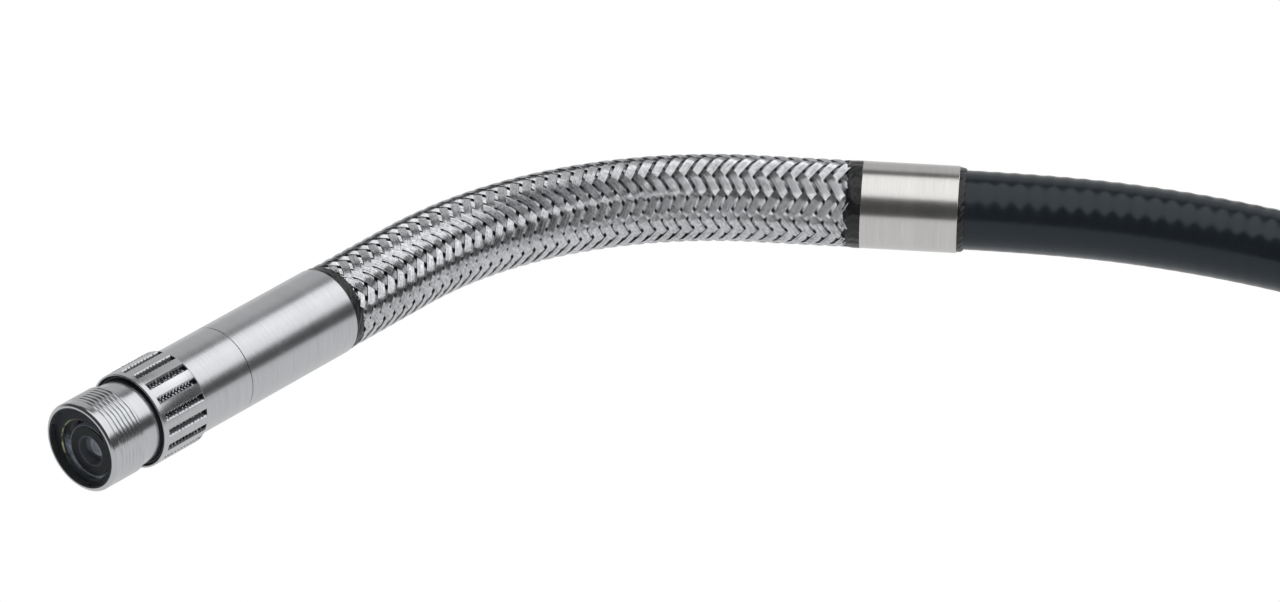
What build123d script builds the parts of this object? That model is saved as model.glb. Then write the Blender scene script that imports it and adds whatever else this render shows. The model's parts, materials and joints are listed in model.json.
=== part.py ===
"""Articulating inspection camera probe: camera head, bending neck, insertion tube and plug.

Millimetres.  The probe lies on a table in the XY plane.  The origin is the middle of the
accessory thread, the head's axis is X and the lens looks along -X.  The neck turns towards
-Y, and the insertion tube runs on to its coil and its plug.
"""
import os
from math import cos, pi, radians, sin, tan

from build123d import *

# ---- driving dimensions: the head, as stations behind the front face and radii -----------------
THREAD_LENGTH = 2.9
THREAD_R = 3.03
THREAD_PITCH = 0.32
THREAD_DEPTH = 0.11
FACE_X = -THREAD_LENGTH / 2      # front face in the part's frame
RIM_CHAMFER = 0.10
WINDOW_R = 2.74
SEAT_R = 2.76
SEAT_DEPTH = 0.55
RELIEF_R = 2.85
CHAMBER_R = 2.50
CHAMBER_END = 4.30
STEP = 4.90                      # the barrel steps down to its neck here
BARREL_NECK_R = 2.30
BARREL_BORE_R = 1.95
BARREL_END = 13.50
MASK_HOLE_R = 2.07
MASK_OFFSET = -0.31              # the mask's hole and the lens sit below the axis
LENS_OFFSET = -0.61
LENS_BARREL_R = 1.35
LENS_BORE_R = 0.95
O_RING_AT = 4.60
O_RING_WIRE_R = 0.10

# ---- the knurled collar nut ---------------------------------------------------------------------
COLLAR_FRONT = 4.36
COLLAR_R = 3.25
MOUTH_R = 3.08
MOUTH_DEPTH = 0.40
KNURL_END = 8.20
SHOULDER_END = 8.45
SLEEVE_R = 3.00
SLEEVE_BORE_R = 2.62
SEAM = 12.73
SEAM_GAP = 0.04
SLOT_COUNT = 18
SLOT_FIRST_ANGLE = 75.5          # degrees from +Y towards +Z
SLOT_WIDTH = 0.54
SLOT_DEPTH = 0.17
RUNNING = 0.04                   # radial clearance of turning and sliding fits
CAVITY_START = 8.95
COLLAR_NECK_BORE_R = BARREL_NECK_R + RUNNING

# ---- head sleeve and what it holds --------------------------------------------------------------
SLEEVE_END = 22.67
CORE_FRONT = 9.60
CORE_R = SLEEVE_BORE_R - RUNNING
CORE_FLANGE_END = 18.00
BLOCK_START, BLOCK_END = 14.30, 16.30
KEY_AT = 12.05
KEY_R = 0.30
KEY_WAY = KEY_R + RUNNING        # half the width of the slot that slides on the key

# ---- bending neck -------------------------------------------------------------------------------
STRAIGHT_FRONT = 7.94            # rigid length behind the sleeve
STRAIGHT_REAR = 6.99             # rigid length ahead of the ferrule
BEND = 54.4                      # degrees the neck is turned at rest
BEND_R = 27.75
JOINTS = 9
LINK_R, LINK_BORE_R = 2.38, 2.12
LINK_GAP = 0.75
EAR_R = 0.70
PIVOT_R = 0.28
RUBBER_R, RUBBER_BORE_R = 2.70, 2.50
BRAID_R, BRAID_BORE_R = 2.93, 2.72
BAND_FRONT_LENGTH = 0.78
BAND_REAR_LENGTH = 0.95
WIRE_OFFSET = 1.85
WIRE_R = 0.16
CABLE_R = 0.80

# ---- ferrule, insertion tube, coil ---------------------------------------------------------------
FERRULE_R, FERRULE_BORE_R = 2.94, 2.72
FERRULE_LENGTH = 6.53
TUBE_R = 2.70
TABLE_Z = -COLLAR_R
TUBE_Z = TABLE_Z + TUBE_R        # the tube's centre where it lies on the table
# insertion tube from the ferrule to the coil, chosen by hand
TUBE_ROUTE = [
    (59.59, -22.59, 0.00),
    (63.66, -28.28, 0.00),
    (67.98, -36.09, -0.20),
    (71.11, -44.37, -0.45),
    (72.49, -52.16, TUBE_Z),
    (72.49, -58.20, TUBE_Z),
]
ARC_SHARE = 0.45                 # share of the shorter run that an arc uses
COIL_RUN_IN = 2.6                # straight length from the route's end to the ring's tangent
COIL_CLEARANCE = 0.3             # room round the tube where it runs in under the upper layer
PLUG_STUB = 25.0                 # straight length from the ring to the plug
STUB_R = TUBE_R - 0.05
COIL_OUTER_TURN_R = 35.20
COIL_PITCH = 5.45
COIL_TURNS_A_LAYER = 2.25
COIL_INNER_TURN_R = COIL_OUTER_TURN_R - COIL_PITCH * COIL_TURNS_A_LAYER

# ---- plug, as stations from the mouth of its strain relief ---------------------------------------
BOOT_LENGTH = 18.0
BOOT_SOCKET = 3.0
SHELL_R = 6.40
SHELL_START, SHELL_FLANGE, SPIGOT_START, SPIGOT_END = 16.0, 28.5, 30.0, 43.0
SHELL_BORE_R = 5.0
FLANGE_R = 7.2
SPIGOT_R = 5.8
NUT_R = TUBE_Z + COIL_PITCH - TABLE_Z
NUT_START, NUT_LIP_END, NUT_END = 27.2, 28.4, 43.0
NUT_BORE_R = 7.3
INSERT_START, INSERT_END = 28.0, 34.8
PIN_R, PIN_CIRCLE_R, PIN_END = 0.35, 3.9, 41.0
PIN_ANGLES = (50, 90, 130, 230, 270, 310)
ROD_R, ROD_OFFSET, ROD_START, ROD_HEAD = 0.8, 2.0, 27.5, 41.0
ROD_HEAD_R, ROD_HEAD_LENGTH = 1.15, 1.0

TURN_EACH = BEND / JOINTS
LINK_PITCH = 2 * BEND_R * tan(radians(TURN_EACH / 2))
NECK_START = FACE_X + SLEEVE_END
BEND_START = NECK_START + STRAIGHT_FRONT
BEND_END_XY = (BEND_START + BEND_R * sin(radians(BEND)), -BEND_R * (1 - cos(radians(BEND))))
REAR_DIR = (cos(radians(BEND)), -sin(radians(BEND)))


def save(shape, node):
    """Write one node's STEP file."""
    export_step(shape, f"parts/{node}.step")


# ---- shapes ---------------------------------------------------------------------------------------
def turned(outline):
    """Solid turned about the X axis from its (x, radius) corners."""
    return revolve(make_face(Polyline(*outline, close=True).edges()), Axis.X, 360)


def ring(x0, x1, outer, inner=0.0):
    """Plain ring or disc about the X axis."""
    return turned([(x0, inner), (x1, inner), (x1, outer), (x0, outer)])


def rod(x0, x1, radius, y=0.0, z=0.0):
    """Round bar along X."""
    upright = Cylinder(radius, x1 - x0, align=(Align.CENTER, Align.CENTER, Align.MIN))
    return Location((x0, y, z), (0, 90, 0)) * upright


def post(x, z0, z1, radius):
    """Round bar along Z on the axis."""
    return Location((x, 0, z0)) * Cylinder(radius, z1 - z0, align=(Align.CENTER, Align.CENTER, Align.MIN))


def block(x0, x1, y0, y1, z0, z1):
    """Box between two corners."""
    return Location((x0, y0, z0)) * Box(x1 - x0, y1 - y0, z1 - z0, align=(Align.MIN, Align.MIN, Align.MIN))


def in_head(shape):
    """Place a shape drawn in stations behind the front face."""
    return Location((FACE_X, 0, 0)) * shape


def joint_xy(number):
    """Centre of the neck joint, counted from 1 at the head."""
    x, y = BEND_START + LINK_PITCH / 2, 0.0
    for step in range(1, number):
        x += LINK_PITCH * cos(radians(step * TURN_EACH))
        y -= LINK_PITCH * sin(radians(step * TURN_EACH))
    return x, y


def at_joint(number, shape):
    """Place a shape drawn from the joint towards the tube, on the piece behind that joint."""
    x, y = joint_xy(number)
    return Location((x, y, 0), (0, 0, -number * TURN_EACH)) * shape


def in_ferrule(shape):
    """Place a shape drawn from the ferrule's front face towards the tube."""
    x = BEND_END_XY[0] + STRAIGHT_REAR * REAR_DIR[0]
    y = BEND_END_XY[1] + STRAIGHT_REAR * REAR_DIR[1]
    return Location((x, y, 0), (0, 0, -BEND)) * shape


def neck_path(start, rear_length, offset=0.0):
    """Line, arc and line beside the neck's centre line, offset towards +Y."""
    radius = BEND_R + offset
    half = radians(BEND / 2)
    turn = radians(BEND)
    first = (start, offset)
    second = (BEND_START, offset)
    middle = (BEND_START + radius * sin(half), -BEND_R + radius * cos(half))
    third = (BEND_START + radius * sin(turn), -BEND_R + radius * cos(turn))
    last = (third[0] + rear_length * REAR_DIR[0], third[1] + rear_length * REAR_DIR[1])
    return Line(first, second) + ThreePointArc(second, middle, third) + Line(third, last)


def along_neck(start, rear_length, radius, offset=0.0):
    """Round bar that follows the neck."""
    section = Plane(origin=(start, offset, 0), z_dir=(1, 0, 0)) * Circle(radius)
    return sweep(section, path=neck_path(start, rear_length, offset))


def neck_tube(start, rear_length, outer, inner):
    """Tube that follows the neck."""
    return along_neck(start, rear_length, outer) - along_neck(start, rear_length, inner)


# ---- camera unit ----------------------------------------------------------------------------------
def camera_barrel():
    """Threaded steel barrel, relieved behind its thread and stepped down inside the collar."""
    outline = [(0, SEAT_R), (0, THREAD_R - RIM_CHAMFER), (RIM_CHAMFER, THREAD_R)]
    groove = RIM_CHAMFER + THREAD_PITCH / 2
    while groove + THREAD_PITCH < THREAD_LENGTH:
        outline += [
            (groove, THREAD_R),
            (groove + THREAD_PITCH * 0.4, THREAD_R - THREAD_DEPTH),
            (groove + THREAD_PITCH * 0.8, THREAD_R),
        ]
        groove += THREAD_PITCH
    outline += [(THREAD_LENGTH, THREAD_R), (THREAD_LENGTH, RELIEF_R), (STEP, RELIEF_R)]
    outline += [(STEP, BARREL_NECK_R), (BARREL_END, BARREL_NECK_R), (BARREL_END, BARREL_BORE_R)]
    outline += [(CHAMBER_END, BARREL_BORE_R), (CHAMBER_END, CHAMBER_R), (SEAT_DEPTH, CHAMBER_R)]
    outline += [(SEAT_DEPTH, SEAT_R)]
    clip_groove = ring(CAVITY_START + 0.05, CAVITY_START + 0.35, BARREL_NECK_R + 1, BARREL_NECK_R - 0.15)
    key_slot = block(KEY_AT - KEY_WAY, BARREL_END + 1, -KEY_WAY, KEY_WAY, -BARREL_NECK_R - 1, -1.5)
    return in_head(turned(outline) - clip_groove - key_slot)


def window_mask():
    """Black mask behind the window, its hole set below the axis."""
    return in_head(ring(0.55, 0.75, CHAMBER_R - 0.02) - rod(0, 2, MASK_HOLE_R, z=MASK_OFFSET))


def on_lens_axis(shape):
    """Move a shape from the head's axis to the lens axis."""
    return in_head(Location((0, 0, LENS_OFFSET)) * shape)


def lens_barrel():
    """Lens tube with a flared mouth, set below the axis."""
    mouth = turned([(0.95, LENS_BARREL_R - 0.10), (0.95, LENS_BARREL_R), (4.20, LENS_BARREL_R),
                    (4.20, LENS_BORE_R), (1.25, LENS_BORE_R)])
    return on_lens_axis(mouth)


def lens(x_front, x_rear, front_curve_r, rear_curve_r):
    """Lens on the lens axis, a disc cut by a sphere at each end."""
    body = rod(x_front, x_rear, LENS_BORE_R - 0.01)
    body &= Location((x_front + front_curve_r, 0, 0)) * Sphere(front_curve_r)
    body &= Location((x_rear - rear_curve_r, 0, 0)) * Sphere(rear_curve_r)
    return on_lens_axis(body)


def led_board():
    """Round board around the lens tube."""
    return in_head(ring(2.10, 2.35, CHAMBER_R - 0.04) - rod(1, 3, LENS_BARREL_R + 0.05, z=LENS_OFFSET))


def leds():
    """Light chips above and beside the lens."""
    chips = []
    for angle, radius in ((90, 1.62), (42, 1.86), (138, 1.86)):
        chip = block(1.75, 2.10, -0.40, 0.40, -0.22, 0.22)
        place = Location((0, radius * cos(radians(angle)), radius * sin(radians(angle))), (angle - 90, 0, 0))
        chips.append(in_head(place * chip))
    return Compound(children=chips)


def make_camera():
    """Everything that moves with the camera unit."""
    save(camera_barrel(), "camera_barrel")
    save(in_head(ring(0.04, 0.52, WINDOW_R)), "front_window")
    save(window_mask(), "window_mask")
    save(lens_barrel(), "lens_barrel")
    save(lens(1.30, 1.95, 2.2, 6.0), "front_lens")
    save(on_lens_axis(ring(1.95, 2.60, LENS_BORE_R - 0.01, 0.55)), "lens_spacer")
    save(lens(2.60, 3.30, 3.6, 3.6), "rear_lens")
    save(led_board(), "led_board")
    save(leds(), "led_chips")
    save(on_lens_axis(block(4.35, 4.80, -0.90, 0.90, -0.90, 0.90)), "image_sensor")
    save(on_lens_axis(block(4.80, 5.10, -0.98, 0.98, -0.98, 0.98)), "sensor_board")
    save(on_lens_axis(block(5.10, 13.00, -0.60, 0.60, -0.10, 0.10)), "camera_ribbon")
    pad_board = ring(13.00, 13.45, BARREL_BORE_R - 0.02)
    pad_board -= block(12.9, 13.6, -KEY_WAY, KEY_WAY, -BARREL_NECK_R, -1.5)
    save(in_head(pad_board), "contact_pad_board")
    clip = ring(CAVITY_START + 0.08, CAVITY_START + 0.32, SLEEVE_BORE_R - RUNNING, BARREL_NECK_R - 0.14)
    save(in_head(clip - block(8, 10, -0.5, 0.5, 0, 4)), "retaining_clip")
    o_ring = Location((O_RING_AT, 0, 0), (0, 90, 0)) * Torus(RELIEF_R + O_RING_WIRE_R, O_RING_WIRE_R)
    save(in_head(o_ring), "barrel_o_ring")


# ---- collar ---------------------------------------------------------------------------------------
def make_collar():
    """Knurled nut with a plain skirt; it turns on the barrel and on the head's thread."""
    lip = 0.05
    body = turned([
        (COLLAR_FRONT, MOUTH_R), (COLLAR_FRONT, COLLAR_R - lip), (COLLAR_FRONT + lip, COLLAR_R),
        (KNURL_END, COLLAR_R), (SHOULDER_END, SLEEVE_R), (SEAM - SEAM_GAP / 2, SLEEVE_R),
        (SEAM - SEAM_GAP / 2, SLEEVE_BORE_R), (CAVITY_START, SLEEVE_BORE_R),
        (CAVITY_START, COLLAR_NECK_BORE_R), (STEP + 0.10, COLLAR_NECK_BORE_R),
        (STEP + 0.10, RELIEF_R + RUNNING), (COLLAR_FRONT + MOUTH_DEPTH, RELIEF_R + RUNNING),
        (COLLAR_FRONT + MOUTH_DEPTH, MOUTH_R),
    ])
    slot = block(COLLAR_FRONT + MOUTH_DEPTH, KNURL_END, -SLOT_WIDTH / 2, SLOT_WIDTH / 2, COLLAR_R - SLOT_DEPTH, 4)
    for number in range(SLOT_COUNT):
        angle = SLOT_FIRST_ANGLE + number * 360 / SLOT_COUNT
        body -= Rotation(angle - 90, 0, 0) * slot
    save(in_head(body), "knurled_collar")


# ---- head -----------------------------------------------------------------------------------------
def ears(outer_side):
    """Two flat hinge plates on a pivot at x = 0, as drawn from the joint."""
    z0, z1 = (2.08, 2.32) if outer_side else (1.78, 1.98)
    plate = post(0, z0, z1, EAR_R)
    if outer_side:
        plate += block(-1.0, 0, -EAR_R, EAR_R, z0, z1)
    else:
        plate += block(0, 1.25, -0.60, 0.60, z0, z1) + block(0.90, 1.25, -0.60, 0.60, z0, 2.25)
    hole = post(0, 0, 4, PIVOT_R if outer_side else PIVOT_R + 0.03)
    plate -= hole
    return [plate, Rotation(180, 0, 0) * plate]


def pivot_clearance():
    """Space for the neighbour's outer plates around the pivot."""
    return [post(0, 2.03, 4, EAR_R + 0.12), post(0, -4, -2.03, EAR_R + 0.12)]


def wire_guides(x0, x1):
    """Two eyelets inside a ring that keep the pull wires at their offset."""
    guides = []
    for side in (1, -1):
        lug = block(x0, x1, min(side * 1.5, side * 2.2), max(side * 1.5, side * 2.2), -0.35, 0.35)
        guides.append(lug - rod(x0 - 1, x1 + 1, WIRE_R + 0.08, y=side * WIRE_OFFSET))
    return guides


def rivets():
    """Two headed pivots, one above and one below the axis."""
    pivot = post(0, 1.62, 1.74, 0.45) + post(0, 1.70, 2.36, PIVOT_R) + post(0, 2.33, 2.43, 0.42)
    return Compound(children=[pivot, Rotation(180, 0, 0) * pivot])


def neck_front_ring():
    """Fixed ring at the head with the first outer hinge plates."""
    end = BEND_START + LINK_PITCH / 2
    body = turned([
        (FACE_X + 19.0, 1.60), (FACE_X + 19.0, CORE_R), (NECK_START - 0.02, CORE_R), (NECK_START - 0.02, LINK_R),
        (end - LINK_GAP / 2, LINK_R), (end - LINK_GAP / 2, LINK_BORE_R), (NECK_START, LINK_BORE_R),
        (NECK_START, 1.60),
    ])
    for plate in ears(True):
        body += Location((end, 0, 0)) * plate
    for side in (1, -1):
        body -= rod(FACE_X + 18, NECK_START + 1, WIRE_R + 0.04, y=side * WIRE_OFFSET)
    for guide in wire_guides(BEND_START - 2, BEND_START - 1):
        body += guide
    return body


def head_core():
    """Threaded bush that guides the camera unit and takes the collar's thread."""
    body = turned([
        (CORE_FRONT, BARREL_NECK_R + RUNNING), (CORE_FRONT, CORE_R), (CORE_FLANGE_END, CORE_R),
        (CORE_FLANGE_END, 1.2), (BLOCK_END, 1.2), (BLOCK_END, BARREL_NECK_R + RUNNING),
    ])
    return in_head(body - post(KEY_AT, -3, 0, KEY_R))


def contact_pins():
    """Sprung pins that meet the camera unit's pads."""
    pins = []
    for number in range(6):
        angle = radians(60 * number)
        pins.append(in_head(rod(13.50, BLOCK_END - 0.3, 0.16, 1.2 * cos(angle), 1.2 * sin(angle))))
    return Compound(children=pins)


def contact_block():
    """Insulator that holds the sprung pins."""
    body = ring(BLOCK_START, BLOCK_END, BARREL_NECK_R)
    for number in range(6):
        angle = radians(60 * number)
        body -= rod(13, BLOCK_END - 0.3, 0.16, 1.2 * cos(angle), 1.2 * sin(angle))
    return in_head(body)


def wire_anchors():
    """Crimped ends of the pull wires behind the head's ring."""
    return Compound(children=[rod(FACE_X + 18.2, FACE_X + 19.0, 0.35, y=side * WIRE_OFFSET) for side in (1, -1)])


def make_head():
    """Everything that moves with the head."""
    sleeve = turned([(SEAM + SEAM_GAP / 2, SLEEVE_BORE_R), (SEAM + SEAM_GAP / 2, SLEEVE_R),
                     (SLEEVE_END, SLEEVE_R), (SLEEVE_END, SLEEVE_BORE_R)])
    save(in_head(sleeve), "head_sleeve")
    save(head_core(), "head_core")
    save(in_head(post(KEY_AT, -CORE_R, -1.60, KEY_R)), "key_pin")
    save(contact_block(), "contact_block")
    save(contact_pins(), "contact_pins")
    save(neck_front_ring(), "neck_front_ring")
    save(wire_anchors(), "wire_anchors")
    band = turned([(SLEEVE_END, RUBBER_R), (SLEEVE_END, SLEEVE_R - 0.03), (SLEEVE_END + 0.5, SLEEVE_R - 0.06),
                   (SLEEVE_END + BAND_FRONT_LENGTH, BRAID_R - 0.02), (SLEEVE_END + BAND_FRONT_LENGTH, RUBBER_R)])
    save(in_head(band), "head_band")


# ---- neck -----------------------------------------------------------------------------------------
def link():
    """One ring of the neck: inner plates at its front joint, outer plates at its rear joint."""
    body = ring(LINK_GAP / 2, LINK_PITCH - LINK_GAP / 2, LINK_R, LINK_BORE_R)
    for space in pivot_clearance():
        body -= space
    for plate in ears(False):
        body += plate
    for plate in ears(True):
        body += Location((LINK_PITCH, 0, 0)) * plate
    for guide in wire_guides(LINK_PITCH / 2 - 0.4, LINK_PITCH / 2 + 0.4):
        body += guide
    return body


def make_neck():
    """Links, pivots, pull wires, signal cable, rubber cover and braid."""
    for number in range(1, JOINTS):
        save(at_joint(number, link()), f"neck_link_{number:02d}")
    for number in range(1, JOINTS + 1):
        x, y = joint_xy(number)
        turn = -(number - 1) * TURN_EACH
        save(Location((x, y, 0), (0, 0, turn)) * rivets(), f"neck_pivots_{number:02d}")
    rear = STRAIGHT_REAR + FERRULE_LENGTH
    wires = [along_neck(FACE_X + 19.0, rear, WIRE_R, offset) for offset in (WIRE_OFFSET, -WIRE_OFFSET)]
    save(Compound(children=wires), "pull_wires")
    save(along_neck(FACE_X + BLOCK_END, rear, CABLE_R), "signal_cable")
    save(neck_tube(NECK_START, STRAIGHT_REAR, RUBBER_R, RUBBER_BORE_R), "neck_rubber")
    braid = neck_tube(NECK_START + BAND_FRONT_LENGTH, STRAIGHT_REAR - BAND_REAR_LENGTH, BRAID_R, BRAID_BORE_R)
    save(braid, "neck_braid")


# ---- ferrule and insertion tube -------------------------------------------------------------------
def neck_rear_ring():
    """Fixed ring at the tube with the last inner hinge plates."""
    length = LINK_PITCH / 2 + STRAIGHT_REAR + 3.0
    body = ring(LINK_GAP / 2, length, LINK_R, LINK_BORE_R)
    for space in pivot_clearance():
        body -= space
    for plate in ears(False):
        body += plate
    for guide in wire_guides(3.0, 4.0):
        body += guide
    return at_joint(JOINTS, body)


def make_ferrule():
    """Ferrule, its band and bead, and the fitting that joins the neck to the tube."""
    chamfer = 0.06
    ferrule = turned([(0, FERRULE_BORE_R), (0, FERRULE_R - chamfer), (chamfer, FERRULE_R),
                      (FERRULE_LENGTH - chamfer, FERRULE_R), (FERRULE_LENGTH, FERRULE_R - chamfer),
                      (FERRULE_LENGTH, FERRULE_BORE_R)])
    save(in_ferrule(ferrule), "ferrule")
    band = turned([(-BAND_REAR_LENGTH, RUBBER_R), (-BAND_REAR_LENGTH, BRAID_R), (-0.75, FERRULE_R + 0.06),
                   (-0.15, FERRULE_R + 0.06), (0, FERRULE_R), (0, RUBBER_R)])
    save(in_ferrule(band), "ferrule_band")
    save(in_ferrule(ring(0, FERRULE_LENGTH, RUBBER_R, LINK_R + 0.02)), "tube_end_fitting")
    bead = turned([(FERRULE_LENGTH, TUBE_R + 0.01), (FERRULE_LENGTH, FERRULE_R - 0.05),
                   (FERRULE_LENGTH + 0.2, FERRULE_R - 0.09), (FERRULE_LENGTH + 0.5, TUBE_R + 0.01)])
    save(in_ferrule(bead), "glue_bead")
    save(neck_rear_ring(), "neck_rear_ring")


def corner_radii(points):
    """Radius of the arc at each corner of a route."""
    radii = []
    for before, corner, after in zip(points, points[1:], points[2:]):
        into, out = Vector(*corner) - Vector(*before), Vector(*after) - Vector(*corner)
        turn = radians(into.get_angle(out))
        radii.append(ARC_SHARE * min(into.length, out.length) / tan(turn / 2))
    return radii


def route_path():
    """The route's straight runs joined by tangent arcs."""
    return FilletPolyline(*TUBE_ROUTE, radius=corner_radii(TUBE_ROUTE))


def route_bar(radius):
    """Round bar along the route."""
    path = route_path()
    return sweep(Plane(origin=TUBE_ROUTE[0], z_dir=path % 0) * Circle(radius), path=path)


def insertion_tube():
    """Tube from the ferrule to the coil."""
    tube = route_bar(TUBE_R)
    print("arc radii", [round(radius, 1) for radius in corner_radii(TUBE_ROUTE)])
    print("tube volume", round(tube.volume, 1), "section x length", round(pi * TUBE_R ** 2 * route_path().length, 1))
    return tube


def coil_centre():
    """Centre of the coil's ring, left of the tube's last run."""
    x, y, _ = TUBE_ROUTE[-1]
    return x + COIL_OUTER_TURN_R, y - COIL_RUN_IN


def coil():
    """Plain ring of the coil's outer shape, with a cut where the tube runs in and a stub to the plug."""
    x, y = coil_centre()
    height = TUBE_R * 2 + COIL_PITCH
    outer = COIL_OUTER_TURN_R + TUBE_R
    inner = COIL_INNER_TURN_R - TUBE_R
    upright = (Align.CENTER, Align.CENTER, Align.MIN)
    body = Location((x, y, TABLE_Z)) * (Cylinder(outer, height, align=upright) - Cylinder(inner, height, align=upright))
    body -= route_bar(TUBE_R + COIL_CLEARANCE)
    stub = Rotation(90, 0, 0) * Cylinder(STUB_R, PLUG_STUB, align=(Align.CENTER, Align.CENTER, Align.MAX))
    return body + Location((x + COIL_OUTER_TURN_R, y, TUBE_Z + COIL_PITCH)) * stub


# ---- plug -----------------------------------------------------------------------------------------
def in_plug(shape):
    """Place a shape drawn from the mouth of the strain relief towards the plug's pins."""
    x, y = coil_centre()
    start_y = y + PLUG_STUB - BOOT_SOCKET
    return Location((x + COIL_OUTER_TURN_R, start_y, TUBE_Z + COIL_PITCH), (0, 0, 90)) * shape


def plug_boot():
    """Tapered rubber strain relief with ribs."""
    outline = [(0, TUBE_R + 0.02), (0, 3.3)]
    ribs = 6
    for number in range(ribs):
        x = 1.2 + number * 2.4
        r = 3.4 + 1.4 * number / ribs
        outline += [(x, r), (x, r + 0.35), (x + 1.2, r + 0.45), (x + 1.2, r + 0.1)]
    outline += [(SHELL_START, 5.0), (SHELL_START, SHELL_BORE_R - 0.02), (BOOT_LENGTH, SHELL_BORE_R - 0.02)]
    outline += [(BOOT_LENGTH, 0), (BOOT_SOCKET, 0), (BOOT_SOCKET, TUBE_R + 0.02)]
    return in_plug(turned(outline))


def plug_shell():
    """Metal shell with a flange for the nut and a spigot for the socket."""
    return in_plug(turned([
        (SHELL_START, SHELL_BORE_R), (SHELL_START, SHELL_R - 0.5), (SHELL_START + 0.5, SHELL_R),
        (SHELL_FLANGE, SHELL_R), (SHELL_FLANGE, FLANGE_R), (SPIGOT_START, FLANGE_R), (SPIGOT_START, SPIGOT_R),
        (SPIGOT_END - 0.3, SPIGOT_R), (SPIGOT_END, SPIGOT_R - 0.3), (SPIGOT_END, SHELL_BORE_R),
    ]))


def plug_nut():
    """Coupling nut that turns freely behind the shell's flange."""
    body = turned([
        (NUT_START, SHELL_R + RUNNING), (NUT_START, NUT_R - 0.4), (NUT_START + 0.4, NUT_R),
        (NUT_END - 0.4, NUT_R), (NUT_END, NUT_R - 0.4), (NUT_END, NUT_BORE_R), (NUT_LIP_END, NUT_BORE_R),
        (NUT_LIP_END, SHELL_R + RUNNING),
    ])
    groove = block(NUT_START + 2, NUT_END - 2, -0.45, 0.45, NUT_R - 0.3, NUT_R + 1)
    for number in range(24):
        body -= Rotation(number * 15, 0, 0) * groove
    return in_plug(body)


def pin_places():
    """Centres of the plug's pins across its axis."""
    return [(PIN_CIRCLE_R * cos(radians(a)), PIN_CIRCLE_R * sin(radians(a))) for a in PIN_ANGLES]


def plug_insert():
    """Insulator with holes for the pins and the two steering rods."""
    body = ring(INSERT_START, INSERT_END, SHELL_BORE_R - 0.02)
    for y, z in pin_places():
        body -= rod(INSERT_START - 1, INSERT_END + 1, PIN_R, y, z)
    for side in (1, -1):
        body -= rod(INSERT_START - 1, INSERT_END + 1, ROD_R + RUNNING, y=side * ROD_OFFSET)
    return in_plug(body)


def steering_rod(side):
    """Sliding rod that ends in a button for the steering control."""
    shaft = rod(ROD_START, ROD_HEAD, ROD_R, y=side * ROD_OFFSET)
    return in_plug(shaft + rod(ROD_HEAD, ROD_HEAD + ROD_HEAD_LENGTH, ROD_HEAD_R, y=side * ROD_OFFSET))


def make_plug():
    """Strain relief, shell, nut, insulator, pins, seal and steering rods."""
    save(plug_boot(), "plug_boot")
    save(plug_shell(), "plug_shell")
    save(plug_nut(), "plug_nut")
    save(plug_insert(), "plug_insert")
    pins = [in_plug(rod(INSERT_START - 0.5, PIN_END, PIN_R, y, z)) for y, z in pin_places()]
    save(Compound(children=pins), "plug_pins")
    save(in_plug(ring(SPIGOT_START, SPIGOT_START + 0.6, FLANGE_R - 0.3, SPIGOT_R)), "plug_seal")
    save(steering_rod(1), "steering_rod_left")
    save(steering_rod(-1), "steering_rod_right")


if __name__ == "__main__":
    os.makedirs("parts", exist_ok=True)
    make_camera()
    make_collar()
    make_head()
    make_neck()
    make_ferrule()
    save(insertion_tube(), "insertion_tube")
    save(coil(), "tube_coil")
    make_plug()
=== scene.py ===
"""Articulating inspection camera probe, dressed over its fixed frame.

Sizes in the classes are millimetres; meshes are metres.  The head's axis is X and the lens
looks along -X.  A station is a distance behind the front face of the camera unit.
"""

import json
import logging
from dataclasses import dataclass, field
from enum import Enum
from math import ceil, cos, degrees, pi, radians, sin, tau
from typing import Callable

import bpy
import numpy as np
from mathutils import Matrix, Vector


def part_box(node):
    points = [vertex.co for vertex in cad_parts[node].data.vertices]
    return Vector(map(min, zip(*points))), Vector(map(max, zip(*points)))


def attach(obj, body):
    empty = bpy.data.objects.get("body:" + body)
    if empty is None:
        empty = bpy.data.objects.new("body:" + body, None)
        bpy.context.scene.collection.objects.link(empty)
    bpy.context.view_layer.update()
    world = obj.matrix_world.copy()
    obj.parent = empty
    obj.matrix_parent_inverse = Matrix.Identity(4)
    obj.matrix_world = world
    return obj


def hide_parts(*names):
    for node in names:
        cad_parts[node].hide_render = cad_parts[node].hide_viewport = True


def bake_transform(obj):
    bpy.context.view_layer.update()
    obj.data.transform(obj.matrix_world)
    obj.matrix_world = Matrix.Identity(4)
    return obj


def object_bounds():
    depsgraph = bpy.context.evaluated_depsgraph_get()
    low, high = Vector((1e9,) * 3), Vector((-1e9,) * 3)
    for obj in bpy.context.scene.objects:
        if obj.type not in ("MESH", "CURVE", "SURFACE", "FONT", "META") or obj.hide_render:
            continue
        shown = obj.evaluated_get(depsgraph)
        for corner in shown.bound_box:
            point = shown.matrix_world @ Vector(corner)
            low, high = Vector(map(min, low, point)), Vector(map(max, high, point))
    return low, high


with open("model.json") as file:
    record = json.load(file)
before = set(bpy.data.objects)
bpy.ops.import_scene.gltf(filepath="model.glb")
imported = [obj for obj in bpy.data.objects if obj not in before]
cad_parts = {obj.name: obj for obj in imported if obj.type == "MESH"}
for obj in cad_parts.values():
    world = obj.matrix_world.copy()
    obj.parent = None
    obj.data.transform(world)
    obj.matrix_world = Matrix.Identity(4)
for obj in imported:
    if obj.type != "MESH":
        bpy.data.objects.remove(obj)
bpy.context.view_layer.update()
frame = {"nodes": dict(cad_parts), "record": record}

MM = 0.001
LOG = logging.getLogger("probe")
NODES = frame["nodes"]
FACE_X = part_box("camera_barrel")[0].x / MM
TABLE_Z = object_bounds()[0].z / MM

Colour = tuple[float, float, float]
Outline = list[tuple[float, float, float]]


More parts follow.
